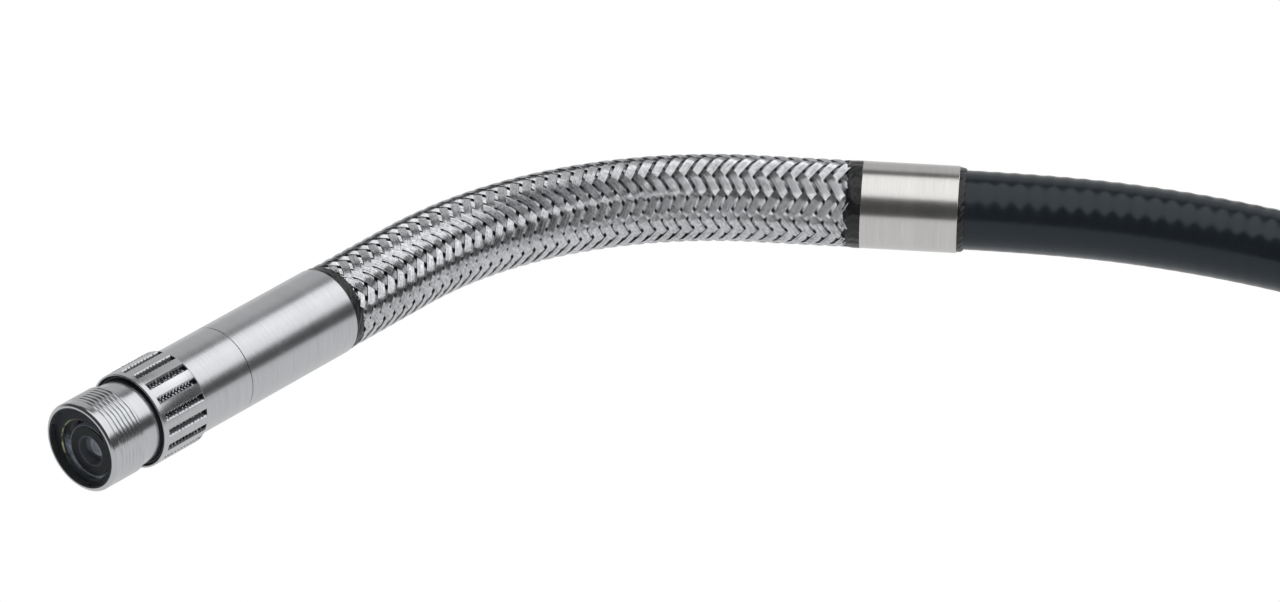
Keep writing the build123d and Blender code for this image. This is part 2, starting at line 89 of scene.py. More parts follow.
# ---- node trees -------------------------------------------------------------------------------
class Value:
    """An output socket; sums with it add Math nodes to its sheet."""

    def __init__(self, sheet: "Sheet", socket: bpy.types.NodeSocket) -> None:
        """Hold the socket and the sheet it stands on."""
        self.sheet, self.socket = sheet, socket

    def at(self, name: str | int) -> "Value":
        """Another output of the same node."""
        return Value(self.sheet, self.socket.node.outputs[name])

    def __add__(self, other: "Value | float") -> "Value":
        """Sum."""
        return self.sheet.math("ADD", self, other)

    def __sub__(self, other: "Value | float") -> "Value":
        """Difference."""
        return self.sheet.math("SUBTRACT", self, other)

    def __mul__(self, other: "Value | float") -> "Value":
        """Product."""
        return self.sheet.math("MULTIPLY", self, other)

    def __truediv__(self, other: "Value | float") -> "Value":
        """Quotient."""
        return self.sheet.math("DIVIDE", self, other)

    def __rsub__(self, other: float) -> "Value":
        """Difference from a number."""
        return self.sheet.math("SUBTRACT", other, self)

    __radd__ = __add__
    __rmul__ = __mul__


class Sheet:
    """Short calls that lay out the nodes of one tree."""

    def __init__(self, tree: bpy.types.NodeTree) -> None:
        """Keep the tree; its group input node is made when it is first asked for."""
        self.tree = tree
        self.door: bpy.types.Node | None = None

    @classmethod
    def geometry(cls, name: str) -> "Sheet":
        """Start a geometry tree with its Geometry sockets."""
        tree = bpy.data.node_groups.new(name, "GeometryNodeTree")
        for way in ("INPUT", "OUTPUT"):
            tree.interface.new_socket("Geometry", in_out=way, socket_type="NodeSocketGeometry")
        return cls(tree)

    @classmethod
    def effect(cls, name: str) -> "Sheet":
        """Start a shader node group."""
        return cls(bpy.data.node_groups.new(name, "ShaderNodeTree"))

    def feed(self, socket: bpy.types.NodeSocket, value: object) -> None:
        """Link a value to an input socket, or set its constant."""
        if isinstance(value, Value):
            self.tree.links.new(value.socket, socket)
        else:
            socket.default_value = value

    def add(self, kind: str, inputs: dict | None = None, **settings: object) -> Value:
        """Add a node.

        Args:
            kind: the node's type name.
            inputs: what its input sockets take, by name or number.
            settings: the node's own properties.

        Returns:
            The node's first output.
        """
        node = self.tree.nodes.new(kind)
        for name, value in settings.items():
            setattr(node, name, value)
        for key, value in (inputs or {}).items():
            self.feed(node.inputs[key], value)
        return Value(self, node.outputs[0])

    def take(self, name: str, kind: str = "Float", default: object = None) -> Value:
        """A named input of the tree.

        Args:
            name: the input's name.
            kind: Float, Int, Vector, Color or Material.
            default: its value where none is given.

        Returns:
            The input as a value.
        """
        socket = self.tree.interface.new_socket(name, in_out="INPUT", socket_type=f"NodeSocket{kind}")
        if default is not None:
            socket.default_value = default
        if self.door is None:
            self.door = self.tree.nodes.new("NodeGroupInput")
        return Value(self, self.door.outputs[name])

    def give(self, **results: Value) -> None:
        """Name the outputs of a shader group."""
        end = self.tree.nodes.new("NodeGroupOutput")
        for name, value in results.items():
            self.tree.interface.new_socket(name, in_out="OUTPUT", socket_type="NodeSocketFloat")
            self.tree.links.new(value.socket, end.inputs[name])

    def yield_geometry(self, geometry: Value, material: Value) -> None:
        """End a geometry tree, with its instances made real and its material set."""
        real = self.add("GeometryNodeRealizeInstances", {"Geometry": geometry})
        dressed = self.add("GeometryNodeSetMaterial", {"Geometry": real, "Material": material})
        end = self.tree.nodes.new("NodeGroupOutput")
        self.tree.links.new(dressed.socket, end.inputs["Geometry"])

    def math(self, operation: str, *values: object) -> Value:
        """A Math node."""
        return self.add("ShaderNodeMath", dict(enumerate(values)), operation=operation)

    def vector(self, x: object = 0.0, y: object = 0.0, z: object = 0.0) -> Value:
        """A vector from its parts."""
        return self.add("ShaderNodeCombineXYZ", {0: x, 1: y, 2: z})

    def parts(self, vector: Value) -> list[Value]:
        """The three parts of a vector."""
        first = self.add("ShaderNodeSeparateXYZ", {0: vector})
        return [first, first.at(1), first.at(2)]

    def vmath(self, operation: str, *values: object) -> Value:
        """A Vector Math node; SCALE takes the vector and the factor."""
        if operation == "SCALE":
            return self.add("ShaderNodeVectorMath", {0: values[0], "Scale": values[1]}, operation=operation)
        return self.add("ShaderNodeVectorMath", dict(enumerate(values)), operation=operation)

    def blend_colour(self, share: object, first: object, second: object) -> Value:
        """Mix two colours by a share from 0 to 1."""
        mixed = self.add("ShaderNodeMix", {0: share, 6: rgba(first), 7: rgba(second)}, data_type="RGBA")
        return mixed.at(2)

    def span(self, value: object, low: float, high: float, first: float = 0.0, last: float = 1.0) -> Value:
        """Map a value from one span to another, held at the ends and eased between them."""
        inputs = {0: value, 1: low, 2: high, 3: first, 4: last}
        return self.add("ShaderNodeMapRange", inputs, interpolation_type="SMOOTHSTEP")

    def noise(self, vector: Value, scale: float, detail: float = 2.0, rough: float = 0.5) -> Value:
        """A noise value from 0 to 1."""
        inputs = {"Vector": vector, "Scale": scale, "Detail": detail, "Roughness": rough}
        return self.add("ShaderNodeTexNoise", inputs)

    def chance(self, number: Value) -> Value:
        """A fixed random value from 0 to 1 for each number."""
        return self.add("ShaderNodeTexWhiteNoise", {"W": number}, noise_dimensions="1D")


def rgba(colour: object) -> object:
    """A colour with its alpha, or a value as it is."""
    return (*colour, 1.0) if isinstance(colour, tuple) and len(colour) == 3 else colour


# ---- meshes -----------------------------------------------------------------------------------
def skin(name: str, rows: np.ndarray, ring: bool) -> bpy.types.Mesh:
    """Skin rows of points, each row closed round.

    Args:
        name: the mesh's name.
        rows: array of rows x points x 3, in millimetres.
        ring: True where the last row joins the first; otherwise both ends are capped.

    Returns:
        A closed mesh in metres whose faces point outwards.
    """
    count, around = rows.shape[:2]
    index = np.arange(count * around).reshape(count, around)
    first, second = (index, np.roll(index, -1, axis=0)) if ring else (index[:-1], index[1:])
    quads = np.stack([first, np.roll(first, -1, axis=1), np.roll(second, -1, axis=1), second], axis=-1)
    quads = quads.reshape(-1, 4)
    flat = rows.reshape(-1, 3)
    faces = quads.tolist()
    if not ring:
        faces += [index[0, ::-1].tolist(), index[-1].tolist()]
    a, b, c, d = (flat[quads[:, n]] for n in range(4))
    middle = flat.mean(0)
    volume = (np.einsum("ij,ij->i", np.cross(a - middle, b - middle), c - middle)
              + np.einsum("ij,ij->i", np.cross(a - middle, c - middle), d - middle)).sum()
    if volume < 0:
        faces = [face[::-1] for face in faces]
    mesh = bpy.data.meshes.new(name)
    mesh.from_pydata((flat * MM).tolist(), [], faces)
    mesh.validate()
    return mesh


def rounded(corners: Outline, steps: int = 4) -> np.ndarray:
    """Round the corners of an outline.

    Args:
        corners: (x, radius, bevel) of each corner, in order round the section.
        steps: points on each rounded corner.

    Returns:
        The outline's points as (x, radius).
    """
    points = np.array([corner[:2] for corner in corners], float)
    made = []
    for number, (x, radius, bevel) in enumerate(corners):
        here = points[number]
        if bevel <= 0:
            made.append(here)
            continue
        back, ahead = points[number - 1] - here, points[(number + 1) % len(points)] - here
        reach = min(bevel, 0.45 * np.linalg.norm(back), 0.45 * np.linalg.norm(ahead))
        start = here + back / np.linalg.norm(back) * reach
        end = here + ahead / np.linalg.norm(ahead) * reach
        made.append(here + (start - here) * 1.1)
        for share in np.linspace(0, 1, steps):
            made.append((1 - share) ** 2 * start + 2 * share * (1 - share) * here + share ** 2 * end)
        made.append(here + (end - here) * 1.1)
    return np.array(made)


def from_face(corners: Outline) -> Outline:
    """Move corners whose x is a station behind the front face to their place in the frame."""
    return [(FACE_X + station, radius, bevel) for station, radius, bevel in corners]


def turned(
    name: str,
    outline: np.ndarray,
    angles: np.ndarray | int = 192,
    reshape: Callable[[np.ndarray, np.ndarray, np.ndarray], np.ndarray] | None = None,
    ring: bool = True,
    centre: tuple[float, float] = (0.0, 0.0),
) -> bpy.types.Mesh:
    """Turn an outline about the X axis.

    Args:
        name: the mesh's name.
        outline: (x, radius) points.
        angles: the angles of its columns, or how many there are.
        reshape: gives new radii from the grids of x, radius and angle.
        ring: True for a closed outline, False for one that ends in flat caps.
        centre: y and z of the axis it is turned about.

    Returns:
        The mesh, in metres.
    """
    if isinstance(angles, int):
        angles = np.linspace(0, tau, angles, endpoint=False)
    x, angle = np.meshgrid(outline[:, 0], angles, indexing="ij")
    radius = np.repeat(outline[:, 1][:, None], len(angles), axis=1)
    if reshape is not None:
        radius = reshape(x, radius, angle)
    rows = np.stack([x, centre[0] + radius * np.cos(angle), centre[1] + radius * np.sin(angle)], axis=-1)
    return skin(name, rows, ring)


def piece(
    name: str,
    mesh: bpy.types.Mesh,
    material: bpy.types.Material,
    place: Matrix | None = None,
    crease: float = 35.0,
) -> bpy.types.Object:
    """Make an object of a finished mesh, with its place in the mesh.

    Args:
        name: the piece's name.
        mesh: its mesh, in metres.
        material: its finish.
        place: where the mesh goes, if it isn't there yet.
        crease: edges sharper than this many degrees stay sharp.

    Returns:
        The object, at the origin.
    """
    if place is not None:
        mesh.transform(place)
    mesh.materials.clear()
    mesh.materials.append(material)
    mesh.polygons.foreach_set("use_smooth", [True] * len(mesh.polygons))
    mesh.set_sharp_from_angle(angle=radians(crease))
    made = bpy.data.objects.new(name, mesh)
    bpy.context.scene.collection.objects.link(made)
    return made


def grow(
    name: str, sheet: Sheet, base: bpy.types.Mesh | None = None, crease: float = 35.0, **sizes: object
) -> bpy.types.Object:
    """Run a geometry tree once and keep its result as a plain mesh.

    Args:
        name: the piece's name.
        sheet: the tree.
        base: the mesh that it starts from, if any.
        crease: edges sharper than this many degrees stay sharp.
        sizes: values of the tree's named inputs.

    Returns:
        The object, at the origin and with no modifier.
    """
    made = bpy.data.objects.new(name, base or bpy.data.meshes.new(name))
    bpy.context.scene.collection.objects.link(made)
    modifier = made.modifiers.new("grow", "NODES")
    modifier.node_group = sheet.tree
    for item in sheet.tree.interface.items_tree:
        if item.in_out == "INPUT" and item.name in sizes:
            value = sizes[item.name]
            modifier[item.identifier] = float(value) if item.socket_type == "NodeSocketFloat" else value
    graph = bpy.context.evaluated_depsgraph_get()
    result = bpy.data.meshes.new_from_object(made.evaluated_get(graph))
    made.modifiers.remove(modifier)
    result.name = name
    made.data = result
    result.polygons.foreach_set("use_smooth", [True] * len(result.polygons))
    result.set_sharp_from_angle(angle=radians(crease))
    return made


def report(part: str, *made: bpy.types.Object) -> None:
    """Log the pieces of a sub-assembly and their faces."""
    faces = ", ".join(f"{one.name} {len(one.data.polygons)}" for one in made)
    LOG.info("%s: %s", part, faces)


# ---- finishes ---------------------------------------------------------------------------------
class Grain(Enum):
    """Which way the fine lines of a finish run, as stretches along and across the axis."""

    ROUND = (1.0, 0.05)
    EVEN = (1.0, 1.0)


class Effects:
    """Shader groups that several finishes share, each built once."""

    made: dict[str, bpy.types.NodeTree] = {}

    @classmethod
    def grain(cls) -> bpy.types.NodeTree:
        """Fine lines and cloudy patches: Shade multiplies a colour, Height feeds a bump."""
        if "grain" not in cls.made:
            sheet = Sheet.effect("fine_grain")
            vector = sheet.take("Vector", "Vector")
            scale = sheet.take("Scale", "Float", 20.0)
            contrast = sheet.take("Contrast", "Float", 0.1)
            cloud = sheet.take("Cloud", "Float", 0.05)
            fine = sheet.noise(vector, 1.0, 3.0, 0.6)
            sheet.feed(fine.socket.node.inputs["Scale"], scale)
            cloudy = sheet.noise(vector, 1.0, 2.0, 0.5)
            sheet.feed(cloudy.socket.node.inputs["Scale"], scale * 0.06)
            shade = 1.0 + (fine - 0.5) * contrast + (cloudy - 0.5) * cloud
            sheet.give(Shade=shade, Height=fine, Patch=cloudy)
            cls.made["grain"] = sheet.tree
        return cls.made["grain"]

    @classmethod
    def dust(cls) -> bpy.types.NodeTree:
        """Scattered specks: Mask is 1 on a speck."""
        if "dust" not in cls.made:
            sheet = Sheet.effect("dust_specks")
            vector = sheet.take("Vector", "Vector")
            scale = sheet.take("Scale", "Float", 2.0)
            amount = sheet.take("Amount", "Float", 0.2)
            size = sheet.take("Size", "Float", 0.1)
            cell = sheet.add("ShaderNodeTexVoronoi", {"Vector": vector, "Scale": scale})
            chance = sheet.parts(cell.at("Color"))[0]
            near = sheet.math("LESS_THAN", cell, size)
            kept = sheet.math("LESS_THAN", chance, amount)
            sheet.give(Mask=near * kept)
            cls.made["dust"] = sheet.tree
        return cls.made["dust"]


@dataclass(frozen=True)
class Finish:
    """A surface: its colour, gloss, grain, cloudiness, relief, dust and painted shade.

    Scales are features per millimetre; heading turns the axis of the grain about Z.  Painted shade
    darkens the surface between two places along X, below a radius, in millimetres.
    """

    name: str
    colour: Colour
    roughness: float
    metallic: float = 0.0
    grain: Grain = Grain.EVEN
    heading: float = 0.0
    scale: float = 12.0
    contrast: float = 0.12
    cloud: float = 0.08
    relief: float = 0.002
    uneven: float = 0.08
    coat: float = 0.0
    dust: float = 0.0
    dust_size: float = 0.10
    dust_scale: float = 1.6
    dust_colour: Colour = (0.55, 0.56, 0.56)
    gloss: float = 0.5
    painted_shade: tuple[float, float, float] | None = None
    painted_shade_colour: Colour = (0.018, 0.019, 0.022)

    def make(self) -> bpy.types.Material:
        """Build the material.

        Returns:
            The material, ready to be given to a piece.
        """
        material = bpy.data.materials.new(self.name)
        material.use_nodes = True
        sheet = Sheet(material.node_tree)
        shader = material.node_tree.nodes["Principled BSDF"]
        place = sheet.add("ShaderNodeTexCoord").at("Object")
        along, across = self.grain.value
        turn = sheet.add("ShaderNodeMapping", {"Vector": place, "Rotation": (0, 0, -self.heading)})
        stretched = sheet.add("ShaderNodeMapping", {
            "Vector": turn, "Scale": (along / MM, across / MM, across / MM)})
        lines = sheet.add("ShaderNodeGroup", {}, node_tree=Effects.grain())
        node = lines.socket.node
        sheet.feed(node.inputs["Vector"], stretched)
        for key, value in (("Scale", self.scale), ("Contrast", self.contrast), ("Cloud", self.cloud)):
            node.inputs[key].default_value = value
        tint = sheet.vmath("SCALE", self.colour, lines.at("Shade"))
        metal: Value | float = self.metallic
        if self.dust:
            specks = sheet.add("ShaderNodeGroup", {}, node_tree=Effects.dust())
            sheet.feed(specks.socket.node.inputs["Vector"], sheet.vmath("SCALE", place, 1 / MM))
            for key, value in (("Scale", self.dust_scale), ("Amount", self.dust), ("Size", self.dust_size)):
                specks.socket.node.inputs[key].default_value = value
            tint = sheet.blend_colour(specks, tint, self.dust_colour)
        # Painted shade: darken the grooves between two places along X, below a radius, and make them less
        # metallic.
        if self.painted_shade:
            x, y, z = (part * (1 / MM) for part in sheet.parts(place))
            first, last, radius = self.painted_shade
            deep = sheet.span(sheet.math("SQRT", y * y + z * z), radius - 0.09, radius, 1.0, 0.0)
            in_painted_shade = deep * sheet.math("GREATER_THAN", x, first) * sheet.math("LESS_THAN", x, last)
            tint = sheet.blend_colour(in_painted_shade, tint, self.painted_shade_colour)
            metal = 1.0 - in_painted_shade * 0.7
        sheet.feed(shader.inputs["Base Color"], tint)
        sheet.feed(shader.inputs["Metallic"], metal)
        rough = self.roughness + (lines.at("Patch") - 0.5) * self.uneven
        sheet.feed(shader.inputs["Roughness"], rough)
        shader.inputs["Coat Weight"].default_value = self.coat
        shader.inputs["Coat Roughness"].default_value = 0.12
        shader.inputs["Specular IOR Level"].default_value = self.gloss
        if self.relief:
            bump = sheet.add("ShaderNodeBump", {"Height": lines.at("Height"), "Strength": 1.0,
                                                "Distance": self.relief * MM})
            sheet.feed(shader.inputs["Normal"], bump)
        return material


@dataclass(frozen=True)
class Clear:
    """Glass that lets light through to what is behind it."""

    name: str
    tint: Colour = (1.0, 1.0, 1.0)
    index: float = 1.5
    smudge: float = 0.02

    def make(self) -> bpy.types.Material:
        """Build the material.

        Returns:
            The material, with light let straight through for shadows.
        """
        material = bpy.data.materials.new(self.name)
        material.use_nodes = True
        sheet = Sheet(material.node_tree)
        shader = material.node_tree.nodes["Principled BSDF"]
        place = sheet.add("ShaderNodeTexCoord").at("Object")
        haze = sheet.noise(place, 900.0, 3.0)
        sheet.feed(shader.inputs["Roughness"], sheet.span(haze, 0.45, 0.75, 0.0, self.smudge))
        shader.inputs["Base Color"].default_value = rgba(self.tint)
        shader.inputs["Transmission Weight"].default_value = 1.0
        shader.inputs["IOR"].default_value = self.index
        path = sheet.add("ShaderNodeLightPath")
        through = sheet.add("ShaderNodeBsdfTransparent")
        mixed = sheet.add("ShaderNodeMixShader", {0: path.at("Is Shadow Ray")})
        sheet.tree.links.new(shader.outputs[0], mixed.socket.node.inputs[1])
        sheet.tree.links.new(through.socket, mixed.socket.node.inputs[2])
        output = material.node_tree.nodes["Material Output"]
        sheet.tree.links.new(mixed.socket, output.inputs["Surface"])
        return material


class Finishes:
    """The finish of each material slot of the frame, made when it is first used."""

    steel: Colour = (0.585, 0.595, 0.615)
    table: dict[str, Finish | Clear] = {}
    made: dict[str, bpy.types.Material] = {}

    @classmethod
    def fill(cls, rear_heading: float) -> None:
        """List the finishes.

        Args:
            rear_heading: direction of the ferrule's axis about Z, in radians.
        """
        steel = cls.steel
        listed = [
            Finish("barrel_steel", steel, 0.20, 1.0, Grain.ROUND, scale=9.0, contrast=0.22, cloud=0.25,
                   relief=0.0024),
            # Painted shade: the collar's steel is darkened in the bottoms of its knurl grooves.
            Finish("collar_steel", steel, 0.24, 1.0, Grain.ROUND, scale=9.0, contrast=0.20, cloud=0.15,
                   relief=0.0025, painted_shade=(FACE_X + 4.75, FACE_X + 8.22, 3.215)),
            # Painted light: the teeth take a brighter copy of the steel so they read as lit.
            Finish("tooth_steel_painted_lit", (0.70, 0.71, 0.73), 0.20, 1.0, scale=6.0, contrast=0.30),
            Finish("sleeve_steel", steel, 0.25, 1.0, Grain.ROUND, scale=10.0, contrast=0.22, cloud=0.15,
                   relief=0.003),
            Finish("ferrule_steel", (0.66, 0.645, 0.63), 0.22, 1.0, Grain.ROUND, rear_heading, 9.0, 0.18,
                   cloud=0.20, relief=0.0022),
            Finish("link_steel", steel, 0.30, 1.0),
            Finish("braid_wire", (0.66, 0.67, 0.69), 0.17, 1.0, scale=5.0, contrast=0.90, cloud=0.40,
                   relief=0.0),
            Finish("pull_wire", (0.52, 0.52, 0.51), 0.30, 1.0),
            Clear("window_glass", (0.94, 0.97, 1.0), 1.10),
            Clear("lens_glass", (0.86, 0.90, 1.0), 1.62, 0.0),
            Finish("black_anodised", (0.016, 0.018, 0.022), 0.38, relief=0.004, dust=0.05, dust_size=0.07),
            Finish("circuit_board", (0.020, 0.060, 0.035), 0.40, coat=0.3),
            Finish("led_emitter", (0.72, 0.66, 0.30), 0.35, coat=0.5),
            Finish("sensor_silicon", (0.05, 0.05, 0.08), 0.15, coat=1.0),
            Finish("ribbon_film", (0.42, 0.20, 0.05), 0.35),
            Finish("seal_rubber", (0.012, 0.013, 0.015), 0.48, relief=0.006),
            Finish("epoxy_black", (0.010, 0.011, 0.013), 0.30, scale=3.0, relief=0.05),
            Finish("insulator", (0.55, 0.53, 0.48), 0.45),
            Finish("contact_gold", (0.80, 0.56, 0.22), 0.25, 1.0),
            Finish("cable_jacket", (0.05, 0.05, 0.055), 0.50),
            Finish("boot_rubber", (0.014, 0.015, 0.017), 0.52, relief=0.006),
            Finish("plug_metal", (0.50, 0.50, 0.505), 0.30, 1.0, Grain.EVEN, scale=8.0, relief=0.003),
            Finish("rod_steel", steel, 0.22, 1.0),
        ]
        cls.table = {finish.name: finish for finish in listed}

    @classmethod
    def get(cls, name: str) -> bpy.types.Material:
        """The material of a slot."""
        if name not in cls.made:
            cls.made[name] = cls.table[name].make()
        return cls.made[name]


# ---- studio -----------------------------------------------------------------------------------
@dataclass
class Studio:
    """Camera, white table, softbox overhead and the pale paper behind."""

    spot: tuple[float, float, float] = (-262.589, -265.571, 230.227)
    turn: float = -0.87175
    rise: float = 0.53304
    roll: float = 0.015684
    lens: float = 194.06
    box_height: float = 500.0
    box_centre: tuple[float, float] = (250.0, -375.0)
    box_size: tuple[float, float] = (1100.0, 1000.0)
    box_turn: float = -14.0
    box_glow: float = 1.18
    table_glow: float = 0.73
    dark: float = 0.07
    cove_glow: float = 0.58
    cove_heading: float = 40.0

    def camera(self) -> None:
        """Place the camera."""
        a, e = self.turn, self.rise
        back = Vector((sin(a) * cos(e), -cos(a) * cos(e), sin(e)))
        right = Vector((cos(a), sin(a), 0.0))
        up = back.cross(right)
        side = right * cos(self.roll) + up * sin(self.roll)
        over = up * cos(self.roll) - right * sin(self.roll)
        data = bpy.data.cameras.new("camera")
        data.lens, data.sensor_width = self.lens, 36.0
        data.clip_start, data.clip_end = 0.01, 20.0
        made = bpy.data.objects.new("camera", data)
        made.matrix_world = Matrix.Translation(Vector(self.spot) * MM) @ Matrix(
            (side, over, back)).transposed().to_4x4()
        bpy.context.scene.collection.objects.link(made)
        bpy.context.scene.camera = made
        bpy.context.scene.view_settings.view_transform = "Standard"

    def table(self) -> None:
        """White table that shows no shadow and still lights what stands on it."""
        mesh = bpy.data.meshes.new("table")
        half, z = 3.0, (TABLE_Z - 0.02) * MM
        mesh.from_pydata([(-half, -half, z), (half, -half, z), (half, half, z), (-half, half, z)], [],
                         [(0, 1, 2, 3)])
        material = bpy.data.materials.new("table_white")
        material.use_nodes = True
        sheet = Sheet(material.node_tree)
        material.node_tree.nodes.remove(material.node_tree.nodes["Principled BSDF"])
        seen = sheet.add("ShaderNodeLightPath").at("Is Camera Ray")
        place = sheet.add("ShaderNodeTexCoord").at("Object")
        paper = 1.0 + (sheet.noise(place, 30.0) - 0.5) * 0.02
        glow = sheet.math("MAXIMUM", seen, paper * self.table_glow)
        shine = sheet.add("ShaderNodeEmission", {"Strength": glow})
        sheet.tree.links.new(shine.socket, material.node_tree.nodes["Material Output"].inputs["Surface"])
        mesh.materials.append(material)
        made = bpy.data.objects.new("table", mesh)
        bpy.context.scene.collection.objects.link(made)

    def softbox(self) -> None:
        """Large rectangular softbox overhead."""
        data = bpy.data.lights.new("softbox", "AREA")
        data.shape = "RECTANGLE"
        data.size, data.size_y = self.box_size[0] * MM, self.box_size[1] * MM
        data.energy = self.box_glow * pi * data.size * data.size_y
        made = bpy.data.objects.new("softbox", data)
        made.location = Vector((*self.box_centre, self.box_height)) * MM
        made.rotation_euler = (0, 0, radians(self.box_turn))
        made.visible_camera = False
        bpy.context.scene.collection.objects.link(made)

    def room(self) -> None:
        """White to the eye; a pale paper cove on one side and a dim room for reflections."""
        world = bpy.data.worlds.new("room")
        world.use_nodes = True
        sheet = Sheet(world.node_tree)
        x, y, z = sheet.parts(sheet.add("ShaderNodeTexCoord").at("Generated"))
        flat = sheet.math("SQRT", x * x + y * y + 1e-6)
        a = radians(self.cove_heading)
        facing = (x * cos(a) + y * sin(a)) / flat
        cove = sheet.span(facing, 0.40, 0.60) * sheet.span(z, 0.62, 0.80, 1.0, 0.0)
        light = cove * (self.cove_glow - self.dark) + self.dark
        seen = sheet.add("ShaderNodeLightPath").at("Is Camera Ray")
        back = world.node_tree.nodes["Background"]
        back.inputs["Color"].default_value = (1, 1, 1, 1)
        sheet.feed(back.inputs["Strength"], sheet.math("MAXIMUM", light, seen))
        bpy.context.scene.world = world

    def build(self) -> None:
        """Make all of it, the camera first."""
        self.camera()
        self.table()
        self.softbox()
        self.room()
        LOG.info("studio: camera, table, softbox, room")


# ---- insertion tube ---------------------------------------------------------------------------
@dataclass
class InsertionTube:
    """Black ribbed jacket from the ferrule to the plug, wound in two flat layers between them."""

    radius: float = 2.70
    length: float = 890.0
    route: list[tuple[float, float, float]] = field(default_factory=lambda: [
        (59.59, -22.59, 0.00), (63.66, -28.28, 0.00), (67.98, -36.09, -0.20),
        (71.11, -44.37, -0.45), (72.49, -52.16, -0.55), (72.49, -58.20, -0.55)])
    coil_centre: tuple[float, float] = (107.69, -60.80)
    outer_turn: float = 35.20
    pitch: float = 5.45
    layer_turns: float = 2.25
    lower: float = -0.55
    points_per_turn: int = 36
    climb: tuple[float, float] = (1.80, 2.20)
    plug_mouth: float = -38.80
    socket: float = 3.0
    rib_pitch: float = 1.15
    rib_height: float = 0.021
    shown: float = 75.0
    around: int = 24

    def controls(self) -> list[tuple[float, float, float]]:
        """The route's points, with the coil's turns made by a loop.

        Returns:
            Control points in millimetres.
        """
        points = list(self.route)
        per_turn = self.points_per_turn
        total = 2 * self.layer_turns
        stretch = 1 / cos(pi / per_turn)
        for step in range(int(total * per_turn) + 1):
            turn = step / per_turn
            inward = min(turn, total - turn)
            radius = (self.outer_turn - self.pitch * inward) * stretch
            share = min(max((turn - self.climb[0]) / (self.climb[1] - self.climb[0]), 0.0), 1.0)
            height = self.lower + self.pitch * share * share * (3 - 2 * share)
            angle = pi + tau * turn
            points.append((self.coil_centre[0] + radius * cos(angle),
                           self.coil_centre[1] + radius * sin(angle), height))
        x, z = self.coil_centre[0] + self.outer_turn, self.lower + self.pitch
        points += [(x, self.plug_mouth - 11.0, z), (x, self.plug_mouth + self.socket - 0.1, z)]
        return points

    def line(self) -> np.ndarray:
        """Read the points of the route's own spline, whose holder is then taken away.

        Returns:
            Points in millimetres.
        """
        curve = bpy.data.curves.new("tube_route", "CURVE")
        curve.dimensions = "3D"
        spline = curve.splines.new("NURBS")
        controls = self.controls()
        spline.points.add(len(controls) - 1)
        for point, place in zip(spline.points, controls):
            point.co = (*(c * MM for c in place), 1.0)
        spline.order_u = 3
        spline.use_endpoint_u = True
        spline.resolution_u = 12
        holder = bpy.data.objects.new("tube_route", curve)
        bpy.context.scene.collection.objects.link(holder)
        graph = bpy.context.evaluated_depsgraph_get()
        mesh = bpy.data.meshes.new_from_object(holder.evaluated_get(graph))
        points = np.array([v.co for v in mesh.vertices], float) / MM
        bpy.data.objects.remove(holder)
        return points

    def jacket(self, points: np.ndarray) -> bpy.types.Mesh:
        """Skin the jacket with the low helical rib of the spiral under it, fainter underneath.

        Args:
            points: the tube's centre line.

        Returns:
            The jacket's mesh, with attributes along, in millimetres, and around, in radians.
        """
        runs = np.linalg.norm(np.diff(points, axis=0), axis=1)
        reach = np.concatenate([[0.0], np.cumsum(runs)])
        shown = np.arange(0.0, self.shown, self.rib_pitch / 8)
        hidden = np.arange(self.shown, reach[-1], self.rib_pitch / 4)
        stations = np.concatenate([shown, hidden, [reach[-1]]])
        middle = np.stack([np.interp(stations, reach, points[:, n]) for n in range(3)], axis=1)
        forward = np.gradient(middle, axis=0)
        for _ in range(6):
            forward[1:-1] = (forward[:-2] + 2 * forward[1:-1] + forward[2:]) / 4
        forward /= np.linalg.norm(forward, axis=1)[:, None]
        side = np.cross((0.0, 0.0, 1.0), forward)
        side /= np.linalg.norm(side, axis=1)[:, None]
        up = np.cross(forward, side)
        angles = np.linspace(0, tau, self.around, endpoint=False)
        phase = tau * stations[:, None] / self.rib_pitch - angles[None, :]
        fade = np.clip(stations / 3.0, 0, 1)[:, None]
        sway = 0.35 * np.sin(stations / 7.3)[:, None] + 0.65
        upper = 0.58 + 0.42 * np.sin(angles)[None, :]
        radius = self.radius - 0.03 + self.rib_height * np.cos(phase) * fade * upper * (0.75 + 0.25 * sway)
        outward = (np.cos(angles)[None, :, None] * side[:, None, :]
                   + np.sin(angles)[None, :, None] * up[:, None, :])
        rows = middle[:, None, :] + radius[:, :, None] * outward
        mesh = skin("insertion_jacket", rows, ring=False)
        for name, grid in (("along", np.repeat(stations[:, None], self.around, axis=1)),
                           ("around", np.repeat(angles[None, :], len(stations), axis=0))):
            mesh.attributes.new(name, "FLOAT", "POINT").data.foreach_set(
                "value", grid.astype(np.float32).ravel())
        return mesh

